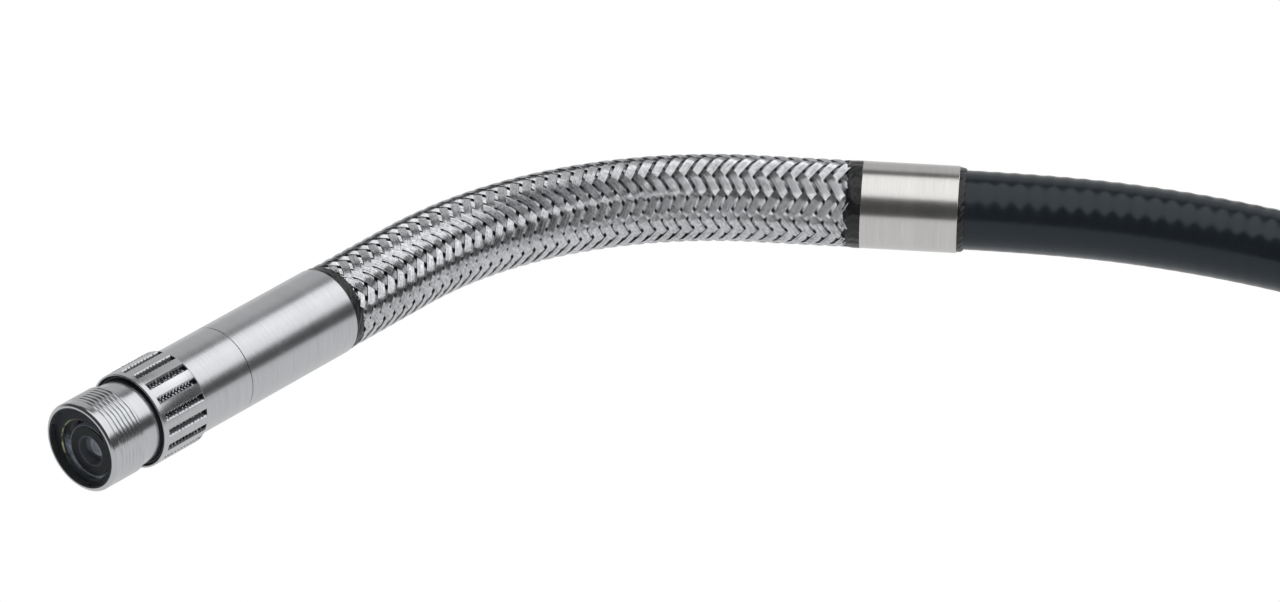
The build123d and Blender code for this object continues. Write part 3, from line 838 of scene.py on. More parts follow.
    def finish(self) -> bpy.types.Material:
        """Satin black polymer with a slight skin, scuffs along it and a little dust.

        Returns:
            The jacket's material.
        """
        material = bpy.data.materials.new("tube_jacket")
        material.use_nodes = True
        sheet = Sheet(material.node_tree)
        shader = material.node_tree.nodes["Principled BSDF"]
        place = sheet.add("ShaderNodeTexCoord").at("Object")
        fine = sheet.vmath("SCALE", place, 1 / MM)
        lines = sheet.add("ShaderNodeGroup", {}, node_tree=Effects.grain())
        node = lines.socket.node
        sheet.feed(node.inputs["Vector"], fine)
        node.inputs["Scale"].default_value = 7.0
        node.inputs["Contrast"].default_value = 0.25
        node.inputs["Cloud"].default_value = 0.25
        along = sheet.add("ShaderNodeAttribute", {}, attribute_name="along").at("Fac")
        around = sheet.add("ShaderNodeAttribute", {}, attribute_name="around").at("Fac")
        scuff = sheet.noise(sheet.vector(along * 0.25, sheet.math("SINE", around) * 3.0,
                                         sheet.math("COSINE", around) * 3.0), 1.0, 4.0, 0.6)
        specks = sheet.add("ShaderNodeGroup", {}, node_tree=Effects.dust())
        sheet.feed(specks.socket.node.inputs["Vector"], fine)
        for key, value in (("Scale", 0.55), ("Amount", 0.10), ("Size", 0.055)):
            specks.socket.node.inputs[key].default_value = value
        tint = sheet.vmath("SCALE", (0.017, 0.022, 0.028), lines.at("Shade"))
        tint = sheet.blend_colour(specks, tint, (0.42, 0.44, 0.46))
        sheet.feed(shader.inputs["Base Color"], tint)
        sheet.feed(shader.inputs["Roughness"], sheet.span(scuff, 0.35, 0.70, 0.20, 0.28))
        shader.inputs["Specular IOR Level"].default_value = 0.42
        shader.inputs["Specular Tint"].default_value = (0.80, 0.92, 1.0, 1.0)
        bump = sheet.add("ShaderNodeBump", {"Height": lines.at("Height"), "Strength": 1.0,
                                            "Distance": 0.004 * MM})
        sheet.feed(shader.inputs["Normal"], bump)
        return material

    def build(self) -> None:
        points = self.line()
        made = piece("insertion_jacket", self.jacket(points), self.finish(), crease=80.0)
        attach(made, "tube")
        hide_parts("insertion_tube", "tube_coil")
        tuple(points[0] * MM)
        (points * MM).tolist()
        report("insertion tube", made)


# ---- camera unit ------------------------------------------------------------------------------
@dataclass
class CameraUnit:
    """Threaded barrel with its window, mask, lens and the small parts behind the glass."""

    thread_length: float = 2.90
    thread_r: float = 3.03
    thread_pitch: float = 0.32
    thread_depth: float = 0.050
    thread_start: float = 0.62
    chamfer: float = 0.14
    seat_r: float = 2.76
    seat_end: float = 0.55
    relief_r: float = 2.85
    step: float = 4.90
    neck_r: float = 2.30
    bore_r: float = 1.95
    end: float = 13.50
    chamber_r: float = 2.50
    chamber_end: float = 4.30
    window_r: float = 2.68
    window_span: tuple[float, float] = (0.04, 0.52)
    mask_front: float = 0.535
    mask_back: float = 0.75
    hole_r: float = 2.07
    hole_down: float = -0.31
    lens_down: float = -0.61
    disc_r: float = 1.69
    disc_hole_r: float = 1.02
    lens_tube_r: float = 1.35
    lens_bore_r: float = 0.95
    seal_station: float = 4.60
    seal_wire_r: float = 0.10

    def thread_tree(self) -> Sheet:
        """Tree that presses a screw thread into a plain barrel.

        Returns:
            The tree; its inputs are pitch, depth, first, last and crest, in millimetres.
        """
        sheet = Sheet.geometry("screw_thread")
        pitch, depth = sheet.take("pitch", "Float", 0.32), sheet.take("depth", "Float", 0.11)
        first, last = sheet.take("first", "Float", 0.2), sheet.take("last", "Float", 2.8)
        crest, material = sheet.take("crest", "Float", 3.03), sheet.take("material", "Material")
        source = Value(sheet, sheet.door.outputs["Geometry"])
        place = sheet.add("GeometryNodeInputPosition")
        x, y, z = (part * (1 / MM) for part in sheet.parts(place))
        radius = sheet.math("SQRT", y * y + z * z)
        turn = sheet.math("ARCTAN2", z, y) * (1 / tau)
        wave = sheet.math("FRACT", (x - first) / pitch - turn + 40.0)
        tooth = sheet.math("ABSOLUTE", wave * 2.0 - 1.0)
        valley = sheet.span(tooth, 0.52, 0.95, 0.0, 1.0)
        run_in = sheet.math("MINIMUM", (x - first) * 6.0, (last - x) * 6.0)
        inside = sheet.add("ShaderNodeClamp", {0: run_in})
        outer = sheet.math("GREATER_THAN", radius, crest - 0.02)
        cut = valley * inside * outer * depth * -0.001
        push = sheet.vmath("SCALE", sheet.vmath("NORMALIZE", sheet.vector(0.0, y, z)), cut)
        moved = sheet.add("GeometryNodeSetPosition", {"Geometry": source, "Offset": push})
        sheet.yield_geometry(moved, material)
        return sheet

    def barrel(self) -> bpy.types.Object:
        """Steel barrel: chamfered rim, thread, relief and the neck inside the collar.

        Returns:
            The barrel.
        """
        front = rounded(from_face([
            (0.0, self.seat_r, 0.02), (0.0, self.thread_r - self.chamfer, 0.03),
            (self.chamfer, self.thread_r, 0.03)]))
        stations = np.arange(self.chamfer + 0.05, self.thread_length - 0.05, 0.04)
        threaded = np.stack([FACE_X + stations, np.full(len(stations), self.thread_r)], axis=1)
        rear = rounded(from_face([
            (self.thread_length, self.thread_r, 0.03), (self.thread_length + 0.10, self.relief_r, 0.05),
            (self.step, self.relief_r, 0.05), (self.step, self.neck_r, 0.0),
            (self.end, self.neck_r, 0.05), (self.end, self.bore_r, 0.0),
            (self.chamber_end, self.bore_r, 0.0), (self.chamber_end, self.chamber_r, 0.0),
            (self.seat_end, self.chamber_r, 0.0), (self.seat_end, self.seat_r, 0.0)]))
        base = turned("camera_barrel_dressed", np.concatenate([front, threaded, rear]))
        made = grow("camera_barrel_dressed", self.thread_tree(), base, crease=28.0,
                    pitch=self.thread_pitch, depth=self.thread_depth, first=FACE_X + self.thread_start,
                    last=FACE_X + self.thread_length - 0.06, crest=self.thread_r,
                    material=Finishes.get("barrel_steel"))
        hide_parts("camera_barrel")
        return made

    def window(self) -> bpy.types.Object:
        """Flat sapphire window with polished edges.

        Returns:
            The window.
        """
        front, back = self.window_span
        outline = rounded(from_face([
            (front, 0.02, 0.0), (front, self.window_r, 0.03), (back, self.window_r, 0.03),
            (back, 0.02, 0.0)]))
        mesh = turned("window_dressed", outline, ring=False)
        made = piece("window_dressed", mesh, Finishes.get("window_glass"))
        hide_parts("front_window")
        return made

    def bond(self) -> bpy.types.Object:
        """Black bond between the window's edge and the steel seat.

        Returns:
            The bond's ring.
        """
        inner, outer, back = self.window_r + 0.005, self.seat_r - 0.005, self.seat_end - 0.005
        outline = rounded(from_face([
            (0.05, inner, 0.0), (0.03, outer, 0.01), (back, outer, 0.0), (back, inner, 0.0)]))
        made = piece("window_bond", turned("window_bond", outline), Finishes.get("seal_rubber"))
        return made

    def mask(self) -> bpy.types.Object:
        """Black mask behind the window, its hole below the axis.

        Returns:
            The mask.
        """
        angles = np.linspace(0, tau, 128, endpoint=False)
        front, back = self.mask_front, self.mask_back
        flange_r, skirt_r = self.window_r + 0.01, self.chamber_r - 0.01
        inner = [(front, self.hole_r + 0.05), (0.60, self.hole_r), (back, self.hole_r)]
        outer = [(back, skirt_r), (front + 0.01, skirt_r), (front + 0.01, flange_r), (front, flange_r)]
        rows = []
        for ring, down in ((inner, self.hole_down), (outer, 0.0)):
            rows += [np.stack([np.full(128, FACE_X + station), radius * np.cos(angles),
                               down + radius * np.sin(angles)], axis=1) for station, radius in ring]
        finish = Finish("mask_black", (0.012, 0.015, 0.019), 0.45, scale=6.0, contrast=0.3, cloud=0.5,
                        relief=0.003, dust=0.20, dust_size=0.075, gloss=0.16).make()
        made = piece("mask_dressed", skin("mask_dressed", np.array(rows), ring=True), finish)
        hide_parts("window_mask")
        return made

    def painted_glint_ring(self) -> bpy.types.Object:
        """Thin coating along the mask's hole with a painted glint, yellow-green on one side and red on top.

        Returns:
            The coating's ring with its painted glint.
        """
        outline = rounded(from_face([
            (0.525, self.hole_r + 0.045, 0.0), (0.545, self.hole_r + 0.06, 0.0),
            (0.61, self.hole_r - 0.005, 0.0), (0.59, self.hole_r - 0.02, 0.0)]))
        mesh = turned("mask_edge_painted_glint", outline, 128, centre=(0.0, self.hole_down))
        material = bpy.data.materials.new("edge_painted_glint")
        material.use_nodes = True
        sheet = Sheet(material.node_tree)
        shader = material.node_tree.nodes["Principled BSDF"]
        place = sheet.add("ShaderNodeTexCoord").at("Object")
        _, y, z = (part * (1 / MM) for part in sheet.parts(place))
        # Painted glint: the lit side is painted yellow-green and metallic and the top reddish, standing in
        # for reflected light.
        angle = sheet.math("ARCTAN2", z - self.hole_down, y)
        lit = sheet.span(angle, -0.9, -0.1) * sheet.span(angle, 0.9, 1.25, 1.0, 0.0)
        top = sheet.span(angle, 0.95, 1.2) * sheet.span(angle, 1.5, 2.0, 1.0, 0.0)
        patchy = sheet.span(sheet.noise(place, 2600.0, 3.0), 0.35, 0.6)
        tint = sheet.blend_colour(lit * patchy, (0.02, 0.024, 0.028), (0.62, 0.66, 0.34))
        tint = sheet.blend_colour(top * 0.5, tint, (0.35, 0.14, 0.10))
        sheet.feed(shader.inputs["Base Color"], tint)
        sheet.feed(shader.inputs["Metallic"], lit * 0.8)
        shader.inputs["Roughness"].default_value = 0.35
        made = piece("mask_edge_painted_glint", mesh, material)
        return made

    def lens_front(self) -> list[bpy.types.Object]:
        """Black disc round the lens, its pale skirt, the lens tube and the rings inside it.

        Returns:
            The pieces.
        """
        low, disc_r, hole_r = (0.0, self.lens_down), self.disc_r, self.disc_hole_r
        tube_r, bore_r = self.lens_tube_r, self.lens_bore_r
        shapes = [
            ("lens_disc",
             Finish("disc_black", (0.006, 0.007, 0.009), 0.30, scale=8.0, relief=0.002, dust=0.03,
                    gloss=0.12),
             [(1.05, hole_r, 0.02), (0.97, 1.05, 0.02), (0.95, disc_r, 0.03), (1.20, disc_r + 0.02, 0.02),
              (1.20, hole_r, 0.0)]),
            ("lens_skirt",
             Finish("skirt_grey", (0.42, 0.48, 0.55), 0.30, scale=2.5, contrast=0.5, cloud=0.6, coat=0.6),
             [(1.02, disc_r + 0.03, 0.0), (1.00, disc_r + 0.07, 0.02), (1.35, disc_r + 0.16, 0.02),
              (1.35, disc_r + 0.03, 0.0)]),
            ("lens_tube_dressed",
             Finish("lens_tube_grey", (0.13, 0.14, 0.155), 0.32, 0.6, scale=6.0, contrast=0.2),
             [(1.00, 0.99, 0.02), (0.98, 1.02, 0.02), (1.06, tube_r, 0.02), (4.20, tube_r, 0.0),
              (4.20, bore_r, 0.0), (1.24, bore_r, 0.01)])]
        pieces = [piece(name, turned(name, rounded(from_face(corners)), 128, centre=low), finish.make())
                  for name, finish, corners in shapes]
        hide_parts("lens_barrel")
        grey = Finish("lens_ring_grey", (0.26, 0.27, 0.29), 0.38, 0.5, scale=6.0, contrast=0.2).make()
        deep = Finish("lens_ring_dark", (0.014, 0.015, 0.018), 0.40, scale=6.0, contrast=0.2).make()
        edges, tones = (0.94, 0.80, 0.74, 0.54, 0.46, 0.34), (deep, grey, deep, grey, deep)
        for number, (outer, inner, tone) in enumerate(zip(edges, edges[1:], tones)):
            name, front = f"lens_ring_{number + 1}", 1.98 + 0.01 * number
            back = front + 0.05
            outline = rounded(from_face([
                (front, inner, 0.0), (front, outer, 0.0), (back, outer, 0.0), (back, inner, 0.0)]))
            pieces.append(piece(name, turned(name, outline, 96, centre=low), tone))
        return pieces

    def tray(self) -> bpy.types.Object:
        """Mottled resin in the recess below and beside the lens, near-black but for a pale lower side that
        is painted light.

        Returns:
            The resin's ring.
        """
        inner_r, outer_r, back = 1.60, self.chamber_r - 0.04, 1.55

        def lumpy(x: np.ndarray, radius: np.ndarray, angle: np.ndarray) -> np.ndarray:
            """Let the resin's edge wander a little."""
            return radius + 0.02 * np.sin(angle * 7 + x) * np.cos(angle * 3 + 1.0)

        outline = rounded(from_face([
            (1.32, inner_r, 0.0), (1.18, 1.80, 0.05), (1.10, 2.12, 0.05), (0.98, outer_r, 0.0),
            (back, outer_r, 0.0), (back, inner_r, 0.0)]))
        mesh = turned("recess_ring_painted_light", outline, 160, lumpy)
        material = bpy.data.materials.new("recess_ring_painted_light")
        material.use_nodes = True
        sheet = Sheet(material.node_tree)
        shader = material.node_tree.nodes["Principled BSDF"]
        place = sheet.add("ShaderNodeTexCoord").at("Object")
        _, y, z = (part * (1 / MM) for part in sheet.parts(place))
        angle = sheet.math("ARCTAN2", z - self.lens_down, y)
        # Painted light: only the lower side is pale, brightened to stand in for light that doesn't reach
        # into the recess.
        low = sheet.span(angle, -2.6, -2.1) * sheet.span(angle, -0.25, 0.25, 1.0, 0.0)
        blotch = sheet.span(sheet.noise(place, 3200.0, 4.0, 0.65), 0.36, 0.66)
        pale = sheet.blend_colour(blotch, (0.22, 0.26, 0.31), (0.78, 0.86, 0.94))
        tint = sheet.blend_colour(low, (0.008, 0.009, 0.011), pale)
        sheet.feed(shader.inputs["Base Color"], tint)
        shader.inputs["Roughness"].default_value = 0.35
        sheet.feed(shader.inputs["Coat Weight"], low * 0.6)
        bump = sheet.add("ShaderNodeBump", {"Height": blotch, "Strength": 1.0, "Distance": 0.02 * MM})
        sheet.feed(shader.inputs["Normal"], bump)
        made = piece("recess_ring_painted_light", mesh, material)
        return made

    def seal(self) -> bpy.types.Object:
        """Rubber ring that shows in the collar's mouth.

        Returns:
            The ring.
        """
        angles = np.linspace(0, tau, 24, endpoint=False)
        wire_r = self.seal_wire_r
        section = np.stack([FACE_X + self.seal_station + wire_r * np.cos(angles),
                            self.relief_r + wire_r + wire_r * np.sin(angles)], axis=1)
        made = piece("barrel_seal", turned("barrel_seal", section), Finishes.get("seal_rubber"))
        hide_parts("barrel_o_ring")
        return made

    def build(self) -> None:
        """Make the pieces and ride them on the camera unit."""
        made = [self.barrel(), self.window(), self.bond(), self.mask(), self.painted_glint_ring(),
                *self.lens_front(), self.tray(), self.seal()]
        for part in made:
            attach(part, "camera")
        report("camera unit", *made)


# ---- collar and head --------------------------------------------------------------------------
@dataclass
class KnurledCollar:
    """Nut with eighteen toothed grooves and a plain skirt."""

    front: float = 4.36
    radius: float = 3.25
    mouth_r: float = 3.08
    mouth_depth: float = 0.40
    knurl_end: float = 8.20
    shoulder_end: float = 8.45
    sleeve_r: float = 3.00
    seam: float = 12.71
    grooves: int = 18
    first_angle: float = 75.5
    groove_width: float = 0.54
    groove_depth: float = 0.23
    seal_bore: float = 2.89
    bore: float = 2.34
    skirt_bore: float = 2.62
    web_span: tuple[float, float] = (5.00, 8.95)
    tooth_pitch: float = 0.29
    tooth_r: float = 0.14
    tooth_height: float = 0.235
    tooth_seat: float = 0.225
    tooth_aside: float = 0.046

    def body(self) -> bpy.types.Object:
        """Turned nut with its V grooves.

        Returns:
            The nut.
        """
        half = degrees(self.groove_width / 2 / self.radius)
        angles = []
        for number in range(self.grooves):
            middle = self.first_angle + number * 360 / self.grooves
            angles += [middle - half, middle - half * 0.94, middle - half * 0.5, middle - half * 0.1,
                       middle + half * 0.1, middle + half * 0.5, middle + half * 0.94, middle + half]
            gap = 360 / self.grooves - 2 * half
            angles += [middle + half + gap * share for share in (0.25, 0.5, 0.75)]
        angles = np.radians(np.array(angles))
        start, knurl_end, radius = self.front + self.mouth_depth, self.knurl_end, self.radius
        corners = rounded(from_face([
            (start, self.mouth_r, 0.0), (self.front + 0.10, self.mouth_r, 0.02),
            (self.front + 0.02, self.mouth_r + 0.05, 0.02), (self.front, radius - 0.06, 0.02),
            (self.front + 0.06, radius, 0.03)]))
        groove = np.array(from_face([
            (start - 0.01, radius, 0.0), (start, radius, 0.0), (knurl_end, radius, 0.0),
            (knurl_end + 0.01, radius - 0.004, 0.0)]))[:, :2]
        tail = rounded(from_face([
            (knurl_end + 0.05, radius - 0.04, 0.02), (self.shoulder_end, self.sleeve_r, 0.03),
            (self.seam, self.sleeve_r, 0.02), (self.seam, self.skirt_bore, 0.0),
            (self.web_span[1], self.skirt_bore, 0.0), (self.web_span[1], self.bore, 0.0),
            (self.web_span[0], self.bore, 0.0), (self.web_span[0], self.seal_bore, 0.0),
            (start, self.seal_bore, 0.0)]))
        inside = (FACE_X + start - 0.001, FACE_X + knurl_end + 0.001)

        def cut(x: np.ndarray, radius: np.ndarray, angle: np.ndarray) -> np.ndarray:
            """Press the grooves into the rows between the groove's ends."""
            step = tau / self.grooves
            away = np.abs((angle - radians(self.first_angle) + step / 2) % step - step / 2)
            width = radians(half)
            depth = self.groove_depth * np.clip((1 - away / width) / 0.9, 0, 1)
            grooved = (x > inside[0]) & (x < inside[1]) & (radius > self.radius - 0.001)
            return np.where(grooved, radius - depth, radius)

        mesh = turned("collar_dressed", np.concatenate([corners, groove, tail]), angles, cut)
        made = piece("collar_dressed", mesh, Finishes.get("collar_steel"), crease=25.0)
        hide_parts("knurled_collar")
        return made

    def teeth_tree(self) -> Sheet:
        """Tree that stands small cut teeth along both walls of every groove.

        Returns:
            The tree; its sizes are in millimetres.
        """
        sheet = Sheet.geometry("groove_teeth")
        grooves, per_row = sheet.take("grooves", "Int", 18), sheet.take("per_row", "Int", 14)
        pitch, start = sheet.take("pitch", "Float", 0.24), sheet.take("start", "Float", 0.0)
        radius, first = sheet.take("radius", "Float", 3.25), sheet.take("first", "Float", 0.0)
        material = sheet.take("material", "Material")
        cloud = sheet.add("GeometryNodePoints", {"Count": grooves * 2.0 * per_row})
        number = sheet.add("GeometryNodeInputIndex")
        row = sheet.math("FLOOR", number / per_row)
        tooth = number - row * per_row
        groove = sheet.math("FLOOR", row / 2.0)
        wall = (row - groove * 2.0) * 2.0 - 1.0
        luck = sheet.chance(number + 3.0)
        angle = first + groove / grooves * tau + wall * self.tooth_aside
        x = start + (tooth + 0.5 + wall * 0.25 + (luck - 0.5) * 0.16) * pitch
        seat = radius - self.tooth_seat
        place = sheet.vector(x, sheet.math("COSINE", angle) * seat, sheet.math("SINE", angle) * seat)
        spots = sheet.add("GeometryNodeSetPosition", {"Geometry": cloud, "Position": place})
        cone = sheet.add("GeometryNodeMeshCone", {
            "Vertices": 4, "Radius Top": 0.008, "Radius Bottom": self.tooth_r, "Depth": self.tooth_height},
            fill_type="NGON")
        turn = sheet.vector(angle - pi / 2 + wall * 0.30, 0.0, 0.0)
        size = 0.85 + luck * 0.35
        stood = sheet.add("GeometryNodeInstanceOnPoints", {
            "Points": spots, "Instance": cone, "Rotation": turn, "Scale": sheet.vector(size, 1.0, size)})
        real = sheet.add("GeometryNodeRealizeInstances", {"Geometry": stood})
        scaled = sheet.add("GeometryNodeTransform", {"Geometry": real, "Scale": (MM, MM, MM)})
        sheet.yield_geometry(scaled, material)
        return sheet

    def teeth(self) -> bpy.types.Object:
        """The grooves' teeth.

        Returns:
            The teeth as one piece.
        """
        start = self.front + self.mouth_depth
        per_row = int((self.knurl_end - start) / self.tooth_pitch)
        # The teeth wear a brighter copy of the steel, as painted light.
        return grow("collar_teeth", self.teeth_tree(), crease=20.0, grooves=self.grooves, per_row=per_row,
                    pitch=self.tooth_pitch, start=FACE_X + start, radius=self.radius,
                    first=radians(self.first_angle), material=Finishes.get("tooth_steel_painted_lit"))

    def build(self) -> None:
        """Make the nut and ride it on the collar."""
        made = [self.body(), self.teeth()]
        for part in made:
            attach(part, "collar")
        report("collar", *made)


@dataclass
class HeadSleeve:
    """Plain sleeve behind the collar and the black band at its end."""

    start: float = 12.75
    end: float = 22.67
    radius: float = 3.00
    bore: float = 2.62
    band: float = 0.78
    band_bore: float = 2.71

    def build(self) -> None:
        """Make both and ride them on the head."""
        outline = rounded(from_face([
            (self.start, self.bore, 0.0), (self.start, self.radius, 0.02), (self.end, self.radius, 0.04),
            (self.end, self.bore, 0.0)]))
        mesh = turned("sleeve_dressed", outline, 256)
        sleeve = piece("sleeve_dressed", mesh, Finishes.get("sleeve_steel"))
        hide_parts("head_sleeve")

        def ragged(x: np.ndarray, radius: np.ndarray, angle: np.ndarray) -> np.ndarray:
            """Give the set resin a lumpy skin."""
            wave = np.sin(angle * 5 + x * 9) * np.cos(angle * 11 - x * 5)
            wave += 0.6 * np.sin(angle * 23 + x * 17)
            return np.where(radius > self.band_bore + 0.04, radius + 0.018 * wave, radius)

        start, bore = self.end - 0.02, self.band_bore
        outline = rounded(from_face([
            (start, bore, 0.0), (start, 2.96, 0.02), (self.end + 0.25, 2.955, 0.1),
            (self.end + 0.5, 2.93, 0.1), (self.end + self.band, 2.90, 0.08),
            (self.end + self.band + 0.02, bore, 0.0)]))
        band = piece("head_band_dressed", turned("head_band_dressed", outline, 256, ragged),
                     Finishes.get("epoxy_black"), crease=60.0)
        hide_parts("head_band")
        for part in (sleeve, band):
            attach(part, "head")
        report("head", sleeve, band)


# ---- bending neck -----------------------------------------------------------------------------
@dataclass
class BendingNeck:
    """Woven steel braid over a rubber tube, laid along a fixed bend and cut into stretches at nine joints.

    Stations here run along the neck's centre line from the end of the head's sleeve.
    """

    straight_front: float = 7.94
    straight_rear: float = 6.99
    bend: float = radians(54.4)
    bend_r: float = 27.75
    joints: int = 9
    front: float = 0.62
    rear: float = 0.80
    lay_length: float = 11.5
    carriers: int = 12
    wires: int = 7
    braid_r: float = 2.825
    wire_width: float = 0.088
    wire_height: float = 0.088
    ribbon_fill: float = 0.80
    weave_height: float = 0.075
    crown: float = 0.020
    step: float = 0.12

    inside = (
        ("rubber_{}", "seal_rubber", "neck_rubber", 2.70, 2.50, 0.0),
        ("cable_{}", "cable_jacket", "signal_cable", 0.80, 0.0, 0.0),
        ("pull_{}_left", "pull_wire", "pull_wires", 0.16, 0.0, 1.85),
        ("pull_{}_right", "pull_wire", "pull_wires", 0.16, 0.0, -1.85))

    def __post_init__(self) -> None:
        """Work out the neck's start and its whole length."""
        self.start_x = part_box("head_sleeve")[1].x / MM
        self.arc = self.bend * self.bend_r
        self.length = self.straight_front + self.arc + self.straight_rear

    def place(self, station: float) -> tuple[Vector, float]:
        """A point of the centre line.

        Args:
            station: distance along the neck.

        Returns:
            The point in millimetres, and how far the line has turned there, in radians.
        """
        on_arc = min(max(station - self.straight_front, 0.0), self.arc)
        turn = on_arc / self.bend_r
        point = Vector((self.start_x + min(station, self.straight_front) + self.bend_r * sin(turn),
                        -self.bend_r * (1 - cos(turn)), 0.0))
        rest = max(station - self.straight_front - self.arc, 0.0)
        return point + Vector((cos(turn), -sin(turn), 0.0)) * rest, turn

    def line(self, sheet: Sheet, station: Value) -> tuple[Value, Value, Value, Value]:
        """The centre line as fields: x and y of the point, and the sine and cosine of the turn."""
        on_arc = sheet.math("MINIMUM", sheet.math("MAXIMUM", station - self.straight_front, 0.0), self.arc)
        turn = on_arc / self.bend_r
        sine, cosine = sheet.math("SINE", turn), sheet.math("COSINE", turn)
        rest = sheet.math("MAXIMUM", station - (self.straight_front + self.arc), 0.0)
        before = sheet.math("MINIMUM", station, self.straight_front)
        x = before + sine * self.bend_r + cosine * rest + self.start_x
        y = (cosine - 1.0) * self.bend_r - sine * rest
        return x, y, sine, cosine

    def braid_tree(self) -> Sheet:
        """Tree that weaves one stretch of the braid; each ribbon goes over two and under two.

        Returns:
            The tree; stations and sizes are in millimetres.
        """
        sheet = Sheet.geometry("woven_braid")
        begin, finish = sheet.take("begin", "Float", 0.0), sheet.take("finish", "Float", 5.0)
        ragged_front = sheet.take("ragged_front", "Float", 0.0)
        ragged_rear = sheet.take("ragged_rear", "Float", 0.0)
        points, wires = sheet.take("points", "Int", 40), sheet.take("wires", "Int", 8)
        width, height = sheet.take("width", "Float", 0.1), sheet.take("height", "Float", 0.08)
        material = sheet.take("material", "Material")
        straight = sheet.add("GeometryNodeCurvePrimitiveLine", {"End": (1.0, 0.0, 0.0)})
        strand = sheet.add("GeometryNodeResampleCurve", {"Curve": straight, "Count": points})
        cloud = sheet.add("GeometryNodePoints", {"Count": wires * float(2 * self.carriers)})
        lines = sheet.add("GeometryNodeRealizeInstances", {
            "Geometry": sheet.add("GeometryNodeInstanceOnPoints", {"Points": cloud, "Instance": strand})})
        number = sheet.add("GeometryNodeCurveOfPoint")
        carrier = sheet.math("FLOOR", number / wires)
        within = number - carrier * wires
        across = (within + 0.5) / wires * 2.0 - 1.0
        family = sheet.math("FLOOR", carrier / float(self.carriers))
        way = 1.0 - family * 2.0
        c = carrier - family * float(self.carriers)
        luck, second_luck = sheet.chance(number + 11.0), sheet.chance(number + 977.0)
        first, last = begin + ragged_front * luck, finish - ragged_rear * second_luck
        station = first + (last - first) * sheet.add("GeometryNodeSplineParameter")
        lay, crossings = self.lay_length, float(self.carriers)

        def weave(offset: Value | float) -> Value:
            """How far through its over and under a wire is, as a cosine."""
            q = c * 2.0 + way * (station * 2.0 - offset) * (crossings / lay)
            return sheet.math("COSINE", (q - 0.5) * (pi / 2))

        drift = sheet.noise(sheet.vector(number * 7.31, station * 0.55, 0.0), 1.0, 1.0)
        lift = sheet.noise(sheet.vector(number * 3.17, station * 1.1, 5.0), 1.0, 1.0)
        crest = weave(0.0)
        squeeze = 0.83 + crest * crest * 0.13
        half = lay / crossings * self.ribbon_fill / 2
        offset = across * squeeze * half + (drift - 0.5) * 0.07
        wave = weave(offset)
        height_wave = wave * (1.5 - wave * wave * 0.5)
        turn = (c / crossings + way * (station - offset) / lay) * tau
        radius = (self.braid_r + way * height_wave * self.weave_height - across * across * self.crown
                  + (lift - 0.5) * 0.04)
        x, y, sine, cosine = self.line(sheet, station)
        out, up = sheet.math("COSINE", turn), sheet.math("SINE", turn)
        normal = sheet.vector(sine * out, cosine * out, up)
        spot = sheet.vector(x + sine * out * radius, y + cosine * out * radius, up * radius)
        aimed = sheet.add("GeometryNodeSetCurveNormal", {"Curve": lines, "Normal": normal}, mode="FREE")
        laid = sheet.add("GeometryNodeSetPosition", {"Geometry": aimed, "Position": spot})
        ring = sheet.add("GeometryNodeCurvePrimitiveCircle", {"Resolution": 6, "Radius": 0.5})
        oval = sheet.vector(height, width, 1.0)
        section = sheet.add("GeometryNodeTransform", {"Geometry": ring, "Scale": oval})
        wire = sheet.add("GeometryNodeCurveToMesh", {
            "Curve": laid, "Profile Curve": section, "Fill Caps": True})
        scaled = sheet.add("GeometryNodeTransform", {"Geometry": wire, "Scale": (MM, MM, MM)})
        sheet.yield_geometry(scaled, material)
        return sheet

    def pipe(self, name: str, first: float, last: float, outer: float, inner: float,
             offset: float = 0.0) -> bpy.types.Mesh:
        """Tube or rod along a stretch of the neck.

        Args:
            name: the mesh's name.
            first: station where it begins.
            last: station where it ends.
            outer: its outer radius.
            inner: its bore's radius, or 0 for a rod.
            offset: how far its centre lies to the outside of the bend.

        Returns:
            The mesh.
        """
        count = max(2, ceil((last - first) / 0.3) + 1)
        angles = np.linspace(0, tau, 96 if outer > 1 else 24, endpoint=False)
        shells = []
        for radius in ((outer, inner) if inner else (outer,)):
            rows = []
            for station in np.linspace(first, last, count):
                point, turn = self.place(float(station))
                side = np.array((sin(turn), cos(turn), 0.0))
                centre = np.array(point) + side * offset
                rows.append(centre + radius * (np.cos(angles)[:, None] * side + np.sin(angles)[:, None]
                                               * np.array((0.0, 0.0, 1.0))))
            shells.append(np.array(rows))
        if inner:
            return skin(name, np.concatenate([shells[0], shells[1][::-1]]), ring=True)
        return skin(name, shells[0], ring=False)

    def stretches(self) -> list[tuple[str, float, float, str, str]]:
        """The neck's eleven stretches.

        Returns:
            Name, first and last station, and the bodies before and after it.
        """
        cuts = [self.straight_front + self.arc * number / self.joints for number in range(self.joints + 1)]
        bodies = ["head"] + [f"link_{number:02d}" for number in range(1, self.joints)] + ["tube"]
        listed = [("00", self.front, cuts[0], "head", "head")]
        for n in range(self.joints):
            listed.append((f"{n + 1:02d}", cuts[n], cuts[n + 1], bodies[n], bodies[n + 1]))
        return listed + [(f"{self.joints + 1:02d}", cuts[-1], self.length - self.rear, "tube", "tube")]

    def carry(self, made: bpy.types.Object, first: float, last: float, before: str, after: str) -> None:
        """Ride a stretch on its body; a stretch between two bodies is left in place, its transform baked
        into its mesh.
        """
        if before == after:
            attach(made, before)
            return
        start, end = self.place(first)[0], self.place(last)[0]
        inward = (end - start).normalized() * 0.17
        (start + inward) * MM
        (end - inward) * MM
        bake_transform(made)

